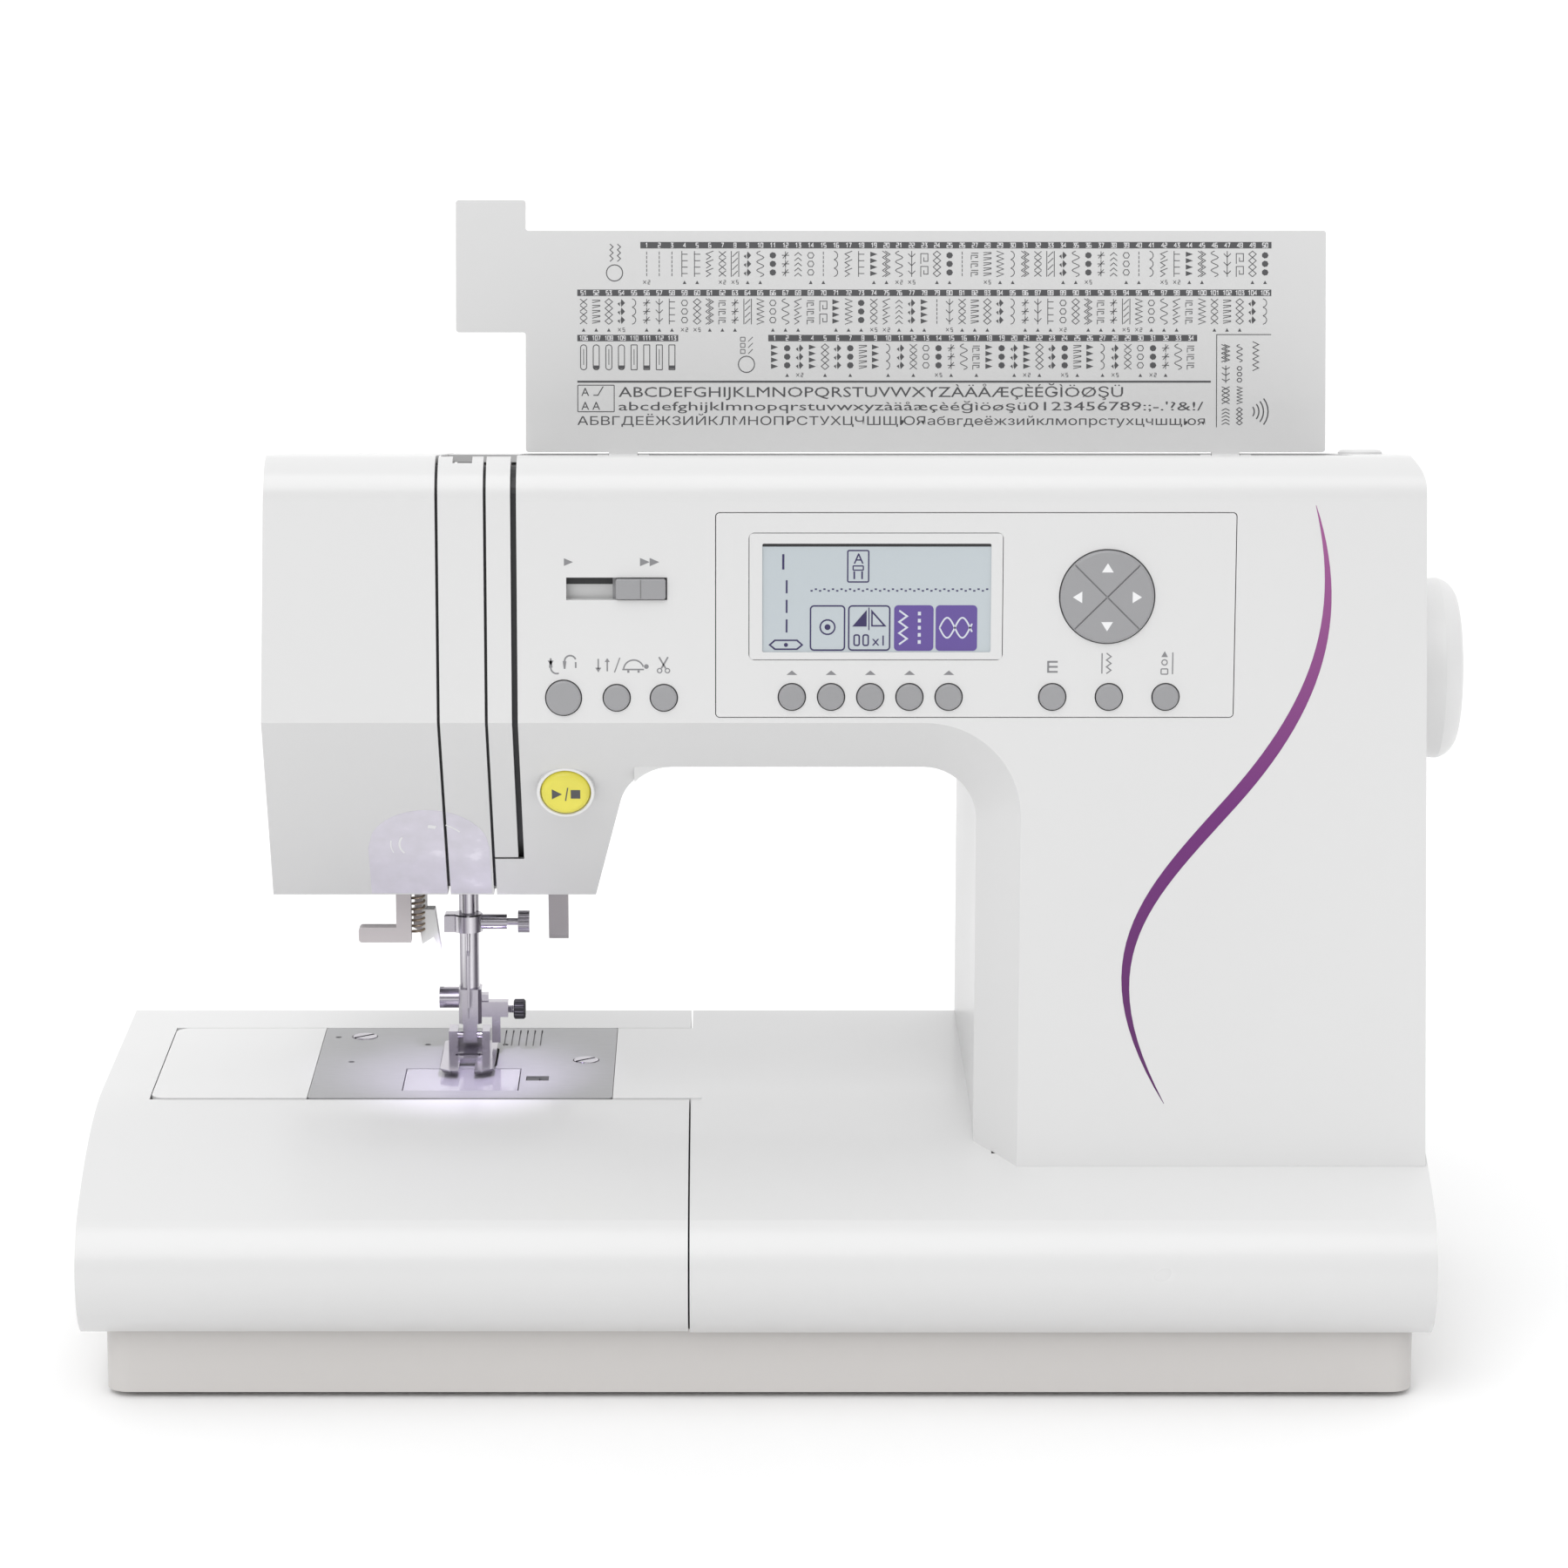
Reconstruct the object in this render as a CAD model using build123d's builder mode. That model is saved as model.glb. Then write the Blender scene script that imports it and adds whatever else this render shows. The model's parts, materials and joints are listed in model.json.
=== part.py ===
from build123d import *

import os
from math import atan, cos, radians, sin

# An electronic free-arm sewing machine with its top lid open, in millimetres.
# X runs along the bed to the right, Y runs away from the sewer, Z is up.
# The origin is the middle of the footprint, on the surface that the feet stand on.

# ---------------------------------------------------------------- driving sizes
WALL = 2.6  # thickness of the moulded covers
GAP = 0.4  # clearance between a moving piece and its opening

# base and bed
FOOT_HEIGHT = 2.0
SKIRT_BOTTOM = 24.4
BED_TOP = 88.0
BED_LEFT = -237.0
BED_RIGHT = 219.0
BED_BACK = 104.0
PLINTH_LEFT = -229.5
PLINTH_RIGHT = 214.0
PLINTH_FRONT = -87.0
PLINTH_BACK = 98.0
TRAY_SEAM = -31.7
ARM_LEFT = -219.0
ARM_FRONT = -24.0
ARM_BACK = 72.0
ARM_BOTTOM = 44.0

# upper body
FRONT = -71.0
ARM_REAR = 69.0
COLUMN_REAR = 98.0
BREAK_Z = 230.2  # height where the front face starts to slope back
HEAD_BOTTOM = 158.0
HEAD_BOTTOM_FRONT = -13.0
HEAD_LEFT = -176.0
TOP_CREST_Z = 318.0
TOP_CREST_Y = -56.0
TOP_FALL = 0.1423  # the top falls this much for each unit towards the back
COLUMN_LEFT = 65.2
COLUMN_EDGE = 79.5  # where the column's front corner bevel starts
THROAT_TOP = 212.3
THROAT_RADIUS = 18.0
SPLIT_Y = 24.0  # plane where the front and rear covers meet

# needle and shafts
NEEDLE_X = -110.6
NEEDLE_Y = 24.0
PRESSER_Y = 36.0
SHAFT_Z = 231.0
LOWER_SHAFT_Z = 56.0
HOOK_Y = 5.0

# thread slots in the front of the head
FACE_SEAM = -115.0
SLOT_MIDDLE = -99.0
SLOT_RIGHT = -89.5

# top lid and the recess below it
LID_LEFT = -89.0
LID_RIGHT = 190.0
LID_LENGTH = 80.0
LID_THICKNESS = 2.4
LID_OPEN_ANGLE = 79.9  # angle of the open lid above the +Y direction
HINGE_Y = 31.0
HINGE_Z = 303.2
DECK_FLOOR = 281.0
DECK_REAR = 35.0
TAB_LEFT = -113.3
TAB_START = 44.7
TAB_END = 90.6

# control panel
PANEL_LEFT = -22.4
PANEL_RIGHT = 149.7
PANEL_BOTTOM = 232.3
PANEL_TOP = 301.0
KEY_Z = 239.1
KEY_RADIUS = 4.35
SOFT_KEY_X = [2.8 + 13.05 * index for index in range(5)]
FUNCTION_KEY_X = [89.5 + 18.85 * index for index in range(3)]
PAD_X = 107.3
PAD_Z = 273.0
PAD_RADIUS = 15.6
LCD_X = 30.6
LCD_Z = 273.0
LCD_WIDTH = 84.0
LCD_HEIGHT = 42.5
REVERSE_X = -73.2
REVERSE_RADIUS = 5.8
NEEDLE_KEY_X = -55.5
CUTTER_KEY_X = -39.8
HEAD_KEY_Z = 238.8
START_X = -73.3
START_Y = -52.7
START_Z = 202.7
START_RADIUS = 8.2
START_RIM = 9.8  # outer radius of the rim that the button stands in
START_RIM_LENGTH = 12.0
START_LEAN = radians(20)  # how far the rim's face looks down
SLIDER_LEFT = -72.1
SLIDER_RIGHT = -38.6
SLIDER_Z = 275.6
SLIDER_HEIGHT = 7.6

os.makedirs("parts", exist_ok=True)


def save(piece, name):
    """Labels one finished piece and writes it to its own file."""
    piece.label = name
    export_step(piece, f"parts/{name}.step")


def front_plane(y):
    """The upright plane at depth y, drawn in X and Z; extruding goes towards the sewer."""
    return Plane.XZ.offset(-y)


def side_plane(x):
    """The upright plane at x, drawn in Y and Z; extruding goes to the right."""
    return Plane.YZ.offset(x)


def block(x0, x1, y0, y1, z0, z1):
    """A plain block between two corners, as a tool for cutting and joining."""
    with BuildPart(mode=Mode.PRIVATE) as made:
        with BuildSketch(Plane.XY.offset(z0)):
            with Locations(((x0 + x1) / 2, (y0 + y1) / 2)):
                Rectangle(x1 - x0, y1 - y0)
        extrude(amount=z1 - z0)
    return made.part


def rod(plane, radius, length, inner=0):
    """A round bar, or a tube when it has an inner radius, standing on a plane."""
    with BuildPart(mode=Mode.PRIVATE) as made:
        with BuildSketch(plane):
            Circle(radius)
            if inner:
                Circle(inner, mode=Mode.SUBTRACT)
        extrude(amount=length)
    return made.part


def at(x, y, z, direction):
    """A plane at a point whose normal is the given direction."""
    return Plane(origin=(x, y, z), z_dir=direction)


RIGHTWARDS = (1, 0, 0)
UPWARDS = (0, 0, 1)


# ---------------------------------------------------------------- body volumes
def bed_volume(inset, x0, x1, bottom):
    """The base's rounded cross-section between two places along X."""
    with BuildPart(mode=Mode.PRIVATE) as made:
        with BuildSketch(side_plane(x0)):
            with BuildLine():
                Line((-12.8, BED_TOP), (BED_BACK - 6, BED_TOP))
                Line((BED_BACK - 6, BED_TOP), (BED_BACK, BED_TOP - 6))
                Line((BED_BACK, BED_TOP - 6), (BED_BACK, bottom))
                Line((BED_BACK, bottom), (-91, bottom))
                ThreePointArc((-91, bottom), (-104, 46), (-94.7, 65))
                ThreePointArc((-94.7, 65), (-56, 81.95), (-12.8, BED_TOP))
            make_face()
            if inset:
                offset(amount=-inset)
        extrude(amount=x1 - x0)
    return made.part


def slope_z(y, inset):
    """Height of the head's sloping front at depth y, moved inwards by inset."""
    rise = (BREAK_Z - HEAD_BOTTOM) / (HEAD_BOTTOM_FRONT - FRONT)
    return BREAK_Z - rise * (y - FRONT) + inset * (1 + rise**2) ** 0.5


def top_z(y):
    """Height of the top surface at depth y."""
    return TOP_CREST_Z - TOP_FALL * (y - TOP_CREST_Y)


def depth_profile(inset, x0, x1, rear):
    """The upper body's cross-section, from front to rear, between two places along X."""
    with BuildPart(mode=Mode.PRIVATE) as made:
        with BuildSketch(side_plane(x0)):
            with BuildLine():
                Polyline(
                    (FRONT, 50),
                    (FRONT, top_z(FRONT)),
                    (rear, top_z(rear)),
                    (rear, 50),
                    close=True,
                )
            profile = make_face()
            crest = profile.vertices().group_by(Axis.Y)[-2:]
            fillet([corner for group in crest for corner in group], 13)
            if inset:
                offset(amount=-inset)
        extrude(amount=x1 - x0)
    return made.part


def front_view(inset):
    """The C-shaped outline of column, arm and head, extruded through the whole depth."""
    with BuildPart(mode=Mode.PRIVATE) as made:
        with BuildSketch(front_plane(COLUMN_REAR + 1)):
            with BuildLine():
                left_side = Line((HEAD_LEFT, HEAD_BOTTOM), (-171.8, 321))
                FilletPolyline(
                    left_side @ 1,
                    (212.2, 321),
                    (219, 40),
                    radius=12,
                )
                Line((219, 40), (COLUMN_LEFT, 40))
                FilletPolyline(
                    (COLUMN_LEFT, 40),
                    (COLUMN_LEFT, THROAT_TOP),
                    (-51.6, THROAT_TOP),
                    (-64.2, HEAD_BOTTOM),
                    radius=THROAT_RADIUS,
                )
                Line((-64.2, HEAD_BOTTOM), left_side @ 0)
            make_face()
            if inset:
                offset(amount=-inset, kind=Kind.INTERSECTION)
        extrude(amount=COLUMN_REAR + 2 - FRONT)
    return made.part


def throat_bevel(inset):
    """The cutter for the bevel that runs along the arm's lower edge and down the column."""
    y_near = FRONT - 4
    z_far = THROAT_TOP + inset
    y_far = y_near
    while slope_z(y_far, inset) > z_far:
        y_far += 0.01
    spread = (COLUMN_EDGE - COLUMN_LEFT) / (slope_z(FRONT, 0) - THROAT_TOP)
    x_far = COLUMN_LEFT + inset
    x_near = x_far + spread * (slope_z(y_near, inset) - z_far)
    outlines = [
        (y_near, x_near, slope_z(y_near, inset), 36 + inset),
        (y_far, x_far, z_far, THROAT_RADIUS + inset),
    ]
    with BuildPart(mode=Mode.PRIVATE) as made:
        for y, right, top, radius in outlines:
            with BuildSketch(front_plane(y)):
                with BuildLine():
                    FilletPolyline((-90, 30), (-90, top), (right, top), (right, 30), radius=(0.01, radius))
                    Line((right, 30), (-90, 30))
                make_face()
        loft(ruled=True)
    return made.part


def head_slope(inset):
    """The wedge that is missing below the head's sloping front."""
    with BuildPart(mode=Mode.PRIVATE) as made:
        with BuildSketch(side_plane(HEAD_LEFT - 10)):
            with BuildLine():
                Polyline(
                    (FRONT - 9, slope_z(FRONT - 9, inset)),
                    (9, slope_z(9, inset)),
                    (9, 100),
                    (FRONT - 9, 100),
                    close=True,
                )
            make_face()
        extrude(amount=-50 - (HEAD_LEFT - 10))
    return made.part


def upper_volume(inset):
    """Column, arm and head as one solid, with every face moved inwards by inset."""
    shape = front_view(inset)
    arm_depth = depth_profile(inset, HEAD_LEFT - 10, COLUMN_LEFT + 40, ARM_REAR)
    column_depth = depth_profile(inset, COLUMN_LEFT + inset, BED_RIGHT + 5, COLUMN_REAR)
    with BuildPart(mode=Mode.PRIVATE) as made:
        add(shape)
        add(arm_depth + column_depth, mode=Mode.INTERSECT)
        add(throat_bevel(inset), mode=Mode.SUBTRACT)
        add(head_slope(inset), mode=Mode.SUBTRACT)
    return made.part


# ---------------------------------------------------------------- base
with BuildPart() as base_plinth:
    with BuildSketch(Plane.XY.offset(FOOT_HEIGHT)):
        with Locations(((PLINTH_LEFT + PLINTH_RIGHT) / 2, (PLINTH_FRONT + PLINTH_BACK) / 2)):
            RectangleRounded(PLINTH_RIGHT - PLINTH_LEFT, PLINTH_BACK - PLINTH_FRONT, 8)
    extrude(amount=SKIRT_BOTTOM - FOOT_HEIGHT)
    offset(amount=-WALL, openings=base_plinth.faces().sort_by(Axis.Z)[-1])
save(base_plinth.part, "base_plinth")

with BuildPart() as rubber_feet:
    with BuildSketch():
        with Locations((-8, 5)):
            with GridLocations(390, 140, 2, 2):
                Circle(10)
    extrude(amount=FOOT_HEIGHT)
    bevelled = rubber_feet.edges().group_by(Axis.Z)[0]
    chamfer(bevelled, 0.6)
save(rubber_feet.part, "rubber_feet")

# The bed: its right-hand block is hollow below the column, and the free arm grows out of it.
bed_shell = bed_volume(0, TRAY_SEAM + GAP, BED_RIGHT, SKIRT_BOTTOM)
bed_hollow = bed_volume(WALL, TRAY_SEAM + GAP + WALL, BED_RIGHT - WALL, SKIRT_BOTTOM)
bed_mouth = block(TRAY_SEAM + GAP + WALL, BED_RIGHT - WALL, -88, BED_BACK - WALL, SKIRT_BOTTOM - 1, 30)
with BuildPart() as bed_cover:
    add(bed_shell)
    with BuildSketch(Plane.XY.offset(ARM_BOTTOM)) as arm_plan:
        with Locations(((ARM_LEFT + TRAY_SEAM) / 2 + 2, (ARM_FRONT + ARM_BACK) / 2)):
            Rectangle(TRAY_SEAM - ARM_LEFT + 4, ARM_BACK - ARM_FRONT)
        fillet(arm_plan.vertices().group_by(Axis.X)[0], 5)
    extrude(amount=BED_TOP - ARM_BOTTOM)
    add(bed_hollow, mode=Mode.SUBTRACT)
    add(bed_mouth, mode=Mode.SUBTRACT)
    add(
        block(ARM_LEFT + WALL, 0, ARM_FRONT + WALL, ARM_BACK - WALL, ARM_BOTTOM - 1, BED_TOP - WALL),
        mode=Mode.SUBTRACT,
    )
    # seat and window for the needle plate, and the column's footprint
    add(block(-164.8, -58.5, ARM_FRONT - 1, ARM_BACK + 1, BED_TOP - 2, BED_TOP + 1), mode=Mode.SUBTRACT)
    add(block(-158, -65, ARM_FRONT + 5, ARM_BACK - 5, BED_TOP - 4, BED_TOP + 1), mode=Mode.SUBTRACT)
    add(block(COLUMN_LEFT + 6, 210, -64, 92, BED_TOP - 30, BED_TOP + 1), mode=Mode.SUBTRACT)
save(bed_cover.part, "bed_cover")

with BuildPart() as free_arm_floor:
    add(
        block(
            ARM_LEFT + WALL + 0.1,
            TRAY_SEAM - 0.4,
            ARM_FRONT + WALL + 0.1,
            ARM_BACK - WALL - 0.1,
            ARM_BOTTOM,
            ARM_BOTTOM + 2,
        )
    )
    with BuildSketch(Plane.XY.offset(ARM_BOTTOM)):
        with Locations((-125, NEEDLE_Y)):
            with GridLocations(9, 60, 9, 1):
                SlotOverall(40, 3, rotation=90)
    extrude(amount=2, mode=Mode.SUBTRACT)
save(free_arm_floor.part, "free_arm_floor")

# The accessory tray wraps round the free arm and slides off to the left.
TRAY_FLOOR = SKIRT_BOTTOM + GAP
with BuildPart() as accessory_tray:
    add(bed_volume(0, BED_LEFT, TRAY_SEAM - GAP / 2, TRAY_FLOOR))
    outer_corners = accessory_tray.edges().filter_by(Axis.Z).group_by(Axis.X)[0]
    fillet(outer_corners, 3)
    add(
        block(ARM_LEFT - GAP, 0, ARM_FRONT - GAP, ARM_BACK + GAP, TRAY_FLOOR + WALL, BED_TOP + 1),
        mode=Mode.SUBTRACT,
    )
    # the accessory compartment in front of the arm and the pocket behind it, open at the right
    add(block(BED_LEFT + 20, 0, -80, ARM_FRONT - 4, TRAY_FLOOR + WALL, 70), mode=Mode.SUBTRACT)
    add(block(BED_LEFT + 20, 0, ARM_BACK + 4, 99, TRAY_FLOOR + WALL, 80), mode=Mode.SUBTRACT)
save(accessory_tray.part, "accessory_tray")

# ---------------------------------------------------------------- upper covers
HEAD_HOLE = block(-150, -84, 3, 64, HEAD_BOTTOM - 5, HEAD_BOTTOM + 8)
LIFTER_SLOT = block(-86, -70.5, 46, ARM_REAR + 5, HEAD_BOTTOM - 5, 186)
LEVEL = cos(atan(TOP_FALL))  # how much of the lid's length shows from above when it is closed
LID_FRONT = HINGE_Y - LID_LENGTH * LEVEL
DECK_HOLE = block(LID_LEFT - 0.6, LID_RIGHT + 0.6, LID_FRONT - GAP, DECK_REAR, 276, 330)
TAB_FRONT = HINGE_Y - TAB_END * LEVEL
TAB_REAR = HINGE_Y - TAB_START * LEVEL
TAB_HOLE = block(TAB_LEFT - 0.5, LID_LEFT, TAB_FRONT - GAP, TAB_REAR + GAP, 280, 330)
SHAFT_HOLE = rod(at(180, NEEDLE_Y, SHAFT_Z, RIGHTWARDS), 9, 60)

upper_shell = upper_volume(0) - upper_volume(WALL)
upper_shell = upper_shell - bed_volume(0, 40, 240, 10)
for opening in (HEAD_HOLE, LIFTER_SLOT, DECK_HOLE, TAB_HOLE, SHAFT_HOLE):
    upper_shell = upper_shell - opening

# seams between the covers
SEAM = 0.5  # half the width of a thread slot
STRIP_REAR = -4.0
STRIP_JOINT = 173.4
strip_zone = block(FACE_SEAM - 1, SLOT_RIGHT + 1, FRONT - 9, STRIP_REAR, STRIP_JOINT, 330)
strip_zone = strip_zone + block(FACE_SEAM - 1, SLOT_MIDDLE + SEAM, FRONT - 9, STRIP_REAR, 100, STRIP_JOINT)
head_roof = block(FACE_SEAM - 1, LID_LEFT, STRIP_REAR - 15, SPLIT_Y + 1, 285, 330)

with BuildPart() as face_cover:
    add(upper_shell)
    add(block(-190, FACE_SEAM - SEAM, -90, 110, 100, 330), mode=Mode.INTERSECT)
save(face_cover.part, "face_cover")

with BuildPart() as take_up_cover:
    add(upper_shell)
    cover_zone = block(FACE_SEAM + SEAM, SLOT_MIDDLE - SEAM, FRONT - 9, STRIP_REAR - 0.3, 100, 330)
    add(cover_zone, mode=Mode.INTERSECT)
    add(head_roof, mode=Mode.SUBTRACT)
    # the notch at the top that the thread drops into
    with BuildSketch(front_plane(-52)):
        with Locations((-106.5, 318)):
            SlotOverall(18, 6.5, rotation=90)
    extrude(amount=12, mode=Mode.SUBTRACT)
save(take_up_cover.part, "take_up_cover")

with BuildPart() as thread_channel_cover:
    add(upper_shell)
    add(
        block(SLOT_MIDDLE + SEAM, SLOT_RIGHT - 1, FRONT - 9, STRIP_REAR - 0.3, STRIP_JOINT + 0.8, 330),
        mode=Mode.INTERSECT,
    )
    add(head_roof, mode=Mode.SUBTRACT)
save(thread_channel_cover.part, "thread_channel_cover")

# ---------------------------------------------------------------- front cover and its openings
START_OUT = (0, -cos(START_LEAN), -sin(START_LEAN))  # the way the start button faces
BEHIND = FRONT + WALL  # depth of the front wall's inner side

head_keys = [
    ("reverse_key", REVERSE_X, REVERSE_RADIUS),
    ("needle_key", NEEDLE_KEY_X, KEY_RADIUS),
    ("cutter_key", CUTTER_KEY_X, KEY_RADIUS),
]
panel_keys = [(f"soft_key_{number + 1}", x, KEY_RADIUS) for number, x in enumerate(SOFT_KEY_X)]
panel_keys += [(f"function_key_{number + 1}", x, KEY_RADIUS) for number, x in enumerate(FUNCTION_KEY_X)]

start_face = at(START_X, START_Y, START_Z, START_OUT)

with BuildPart() as front_cover:
    add(upper_shell)
    add(block(FACE_SEAM + SEAM, 230, -90, SPLIT_Y - 0.05, 40, 330), mode=Mode.INTERSECT)
    add(strip_zone + head_roof, mode=Mode.SUBTRACT)
    with BuildSketch(front_plane(FRONT + WALL + 1)):
        with Locations(((PANEL_LEFT + PANEL_RIGHT) / 2, (PANEL_BOTTOM + PANEL_TOP) / 2)):
            RectangleRounded(PANEL_RIGHT - PANEL_LEFT + 0.6, PANEL_TOP - PANEL_BOTTOM + 0.6, 1.5)
        for name, x, radius in head_keys:
            with Locations((x, HEAD_KEY_Z)):
                Circle(radius + GAP)
        with Locations(((SLIDER_LEFT + SLIDER_RIGHT) / 2, SLIDER_Z)):
            Rectangle(SLIDER_RIGHT - SLIDER_LEFT, SLIDER_HEIGHT)
    extrude(amount=WALL + 2, mode=Mode.SUBTRACT)
    add(rod(start_face.offset(-START_RIM_LENGTH), START_RIM, START_RIM_LENGTH))
    with BuildSketch(start_face.offset(-START_RIM_LENGTH - 1)):
        Circle(START_RADIUS + GAP)
    extrude(amount=START_RIM_LENGTH + 4, mode=Mode.SUBTRACT)
save(front_cover.part, "front_cover")

with BuildPart() as rear_cover:
    add(upper_shell)
    add(
        block(FACE_SEAM + SEAM, 230, SPLIT_Y + 0.05, 110, 40, 330)
        + block(FACE_SEAM + SEAM, LID_LEFT - 0.1, STRIP_REAR - 15, SPLIT_Y + 1, 285, 330),
        mode=Mode.INTERSECT,
    )
    # ventilation slots behind the motor, and ears for the carrying handle
    with BuildSketch(front_plane(COLUMN_REAR + 1)):
        with Locations((140, 130)):
            with GridLocations(10, 1, 9, 1):
                SlotOverall(40, 3, rotation=90)
    extrude(amount=WALL + 2, mode=Mode.SUBTRACT)
    for x in (-76, 40.5):
        add(block(x, x + 5.5, ARM_REAR - 1, ARM_REAR + 11, 256, 268))
        add(rod(at(x - 1, ARM_REAR + 6, 262, RIGHTWARDS), 2.55, 8), mode=Mode.SUBTRACT)
    add(block(205, 225, 38.3, 87.7, 90.3, 121.7), mode=Mode.SUBTRACT)
save(rear_cover.part, "rear_cover")

with BuildPart() as carry_handle:
    with BuildSketch(front_plane(ARM_REAR + 9)):
        with Locations((-15, 239.5)):
            RectangleRounded(110, 51, 3.4)
            with Locations((0, 12)):
                RectangleRounded(92, 51, 6, mode=Mode.SUBTRACT)
    extrude(amount=6)
    for x, way in ((-67, -1), (37, 1)):
        add(rod(at(x, ARM_REAR + 6, 262, (way, 0, 0)), 2.5, 8.2))
save(carry_handle.part, "carry_handle")

with BuildPart() as control_panel:
    with BuildSketch(front_plane(FRONT + WALL)):
        with Locations(((PANEL_LEFT + PANEL_RIGHT) / 2, (PANEL_BOTTOM + PANEL_TOP) / 2)):
            RectangleRounded(PANEL_RIGHT - PANEL_LEFT, PANEL_TOP - PANEL_BOTTOM, 1.2)
        for name, x, radius in panel_keys:
            with Locations((x, KEY_Z)):
                Circle(radius + GAP, mode=Mode.SUBTRACT)
        with Locations((PAD_X, PAD_Z)):
            Circle(PAD_RADIUS + GAP, mode=Mode.SUBTRACT)
        with Locations((LCD_X, LCD_Z)):
            RectangleRounded(LCD_WIDTH + GAP, LCD_HEIGHT + GAP, 2, mode=Mode.SUBTRACT)
    extrude(amount=WALL)
save(control_panel.part, "control_panel")

with BuildPart() as lcd_display:
    with BuildSketch(front_plane(FRONT + 2.2)):
        with Locations((LCD_X, LCD_Z)):
            RectangleRounded(LCD_WIDTH, LCD_HEIGHT, 1.8)
    extrude(amount=1.6)
    with BuildSketch(front_plane(FRONT + 9)):
        with Locations((LCD_X, LCD_Z)):
            Rectangle(LCD_WIDTH - 4, LCD_HEIGHT - 3)
    extrude(amount=7)
save(lcd_display.part, "lcd_display")


def round_key(name, x, z, radius):
    """A push key: a softly crowned cap with a collar that keeps it behind the cover."""
    with BuildPart() as key:
        with BuildSketch(front_plane(BEHIND + 3)):
            with Locations((x, z)):
                Circle(radius)
        extrude(amount=BEHIND + 3 - FRONT + 1.1)
        rim = key.edges().filter_by(GeomType.CIRCLE).group_by(Axis.Y)[0]
        fillet(rim, 0.7)
        with BuildSketch(front_plane(BEHIND + 1.6)):
            with Locations((x, z)):
                Circle(radius + 1.3)
        extrude(amount=1.2)
    save(key.part, name)


for name, x, radius in head_keys:
    round_key(name, x, HEAD_KEY_Z, radius)
for name, x, radius in panel_keys:
    round_key(name, x, KEY_Z, radius)

with BuildPart() as arrow_pad:
    with BuildSketch(front_plane(BEHIND + 2)):
        with Locations((PAD_X, PAD_Z)):
            Circle(PAD_RADIUS)
    extrude(amount=BEHIND + 2 - FRONT + 1.4)
    fillet(arrow_pad.edges().filter_by(GeomType.CIRCLE).group_by(Axis.Y)[0], 1.0)
    with BuildSketch(front_plane(FRONT - 0.8)):
        with Locations((PAD_X, PAD_Z)):
            Rectangle(2 * PAD_RADIUS + 1, 0.5, rotation=45)
            Rectangle(2 * PAD_RADIUS + 1, 0.5, rotation=-45)
    extrude(amount=1, mode=Mode.SUBTRACT)
    with BuildSketch(front_plane(BEHIND + 1.6)):
        with Locations((PAD_X, PAD_Z)):
            Circle(PAD_RADIUS + 1.3)
    extrude(amount=1.2)
save(arrow_pad.part, "arrow_pad")

with BuildPart() as start_stop_button:
    with BuildSketch(start_face.offset(-START_RIM_LENGTH - 2)):
        Circle(START_RADIUS)
    extrude(amount=START_RIM_LENGTH + 3.6)
    fillet(start_stop_button.edges().filter_by(GeomType.CIRCLE).group_by(Axis.Y)[0], 2.2)
    with BuildSketch(start_face.offset(-START_RIM_LENGTH - 1.9)):
        Circle(START_RIM)
    extrude(amount=1.3)
save(start_stop_button.part, "start_stop_button")

KNOB_WIDTH = 16.6
with BuildPart() as speed_slider:
    with BuildSketch(front_plane(BEHIND + 1)):
        with Locations((SLIDER_RIGHT - 0.5 - KNOB_WIDTH / 2, SLIDER_Z)):
            RectangleRounded(KNOB_WIDTH, SLIDER_HEIGHT - 0.8, 0.8)
    extrude(amount=BEHIND + 1 - FRONT + 1.6)
    fillet(speed_slider.faces().sort_by(Axis.Y)[0].edges(), 0.5)
    with BuildSketch(front_plane(BEHIND + 1.7)):
        with Locations((SLIDER_RIGHT - 0.5 - KNOB_WIDTH / 2, SLIDER_Z)):
            Rectangle(KNOB_WIDTH + 2, SLIDER_HEIGHT + 4)
    extrude(amount=1.2)
save(speed_slider.part, "speed_slider")

# ---------------------------------------------------------------- top deck and lid
under_lid = 3.2  # the deck's rim lies this far below the closed lid's outer face
DECK_LEFT = LID_LEFT - 0.2
DECK_RIGHT = LID_RIGHT + 0.2
DECK_WALL = 1.4
EARS = [(-64.0, -60.3), (-49.7, -46.0), (146.3, 150.0), (160.3, 164.0)]
KNUCKLES = [(-60.0, -50.0), (150.3, 160.0)]
SPOOL_Y = -8.0
SPOOL_Z = 295.0
WINDER_X = 168.0
WINDER_Y = -22.0

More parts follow.
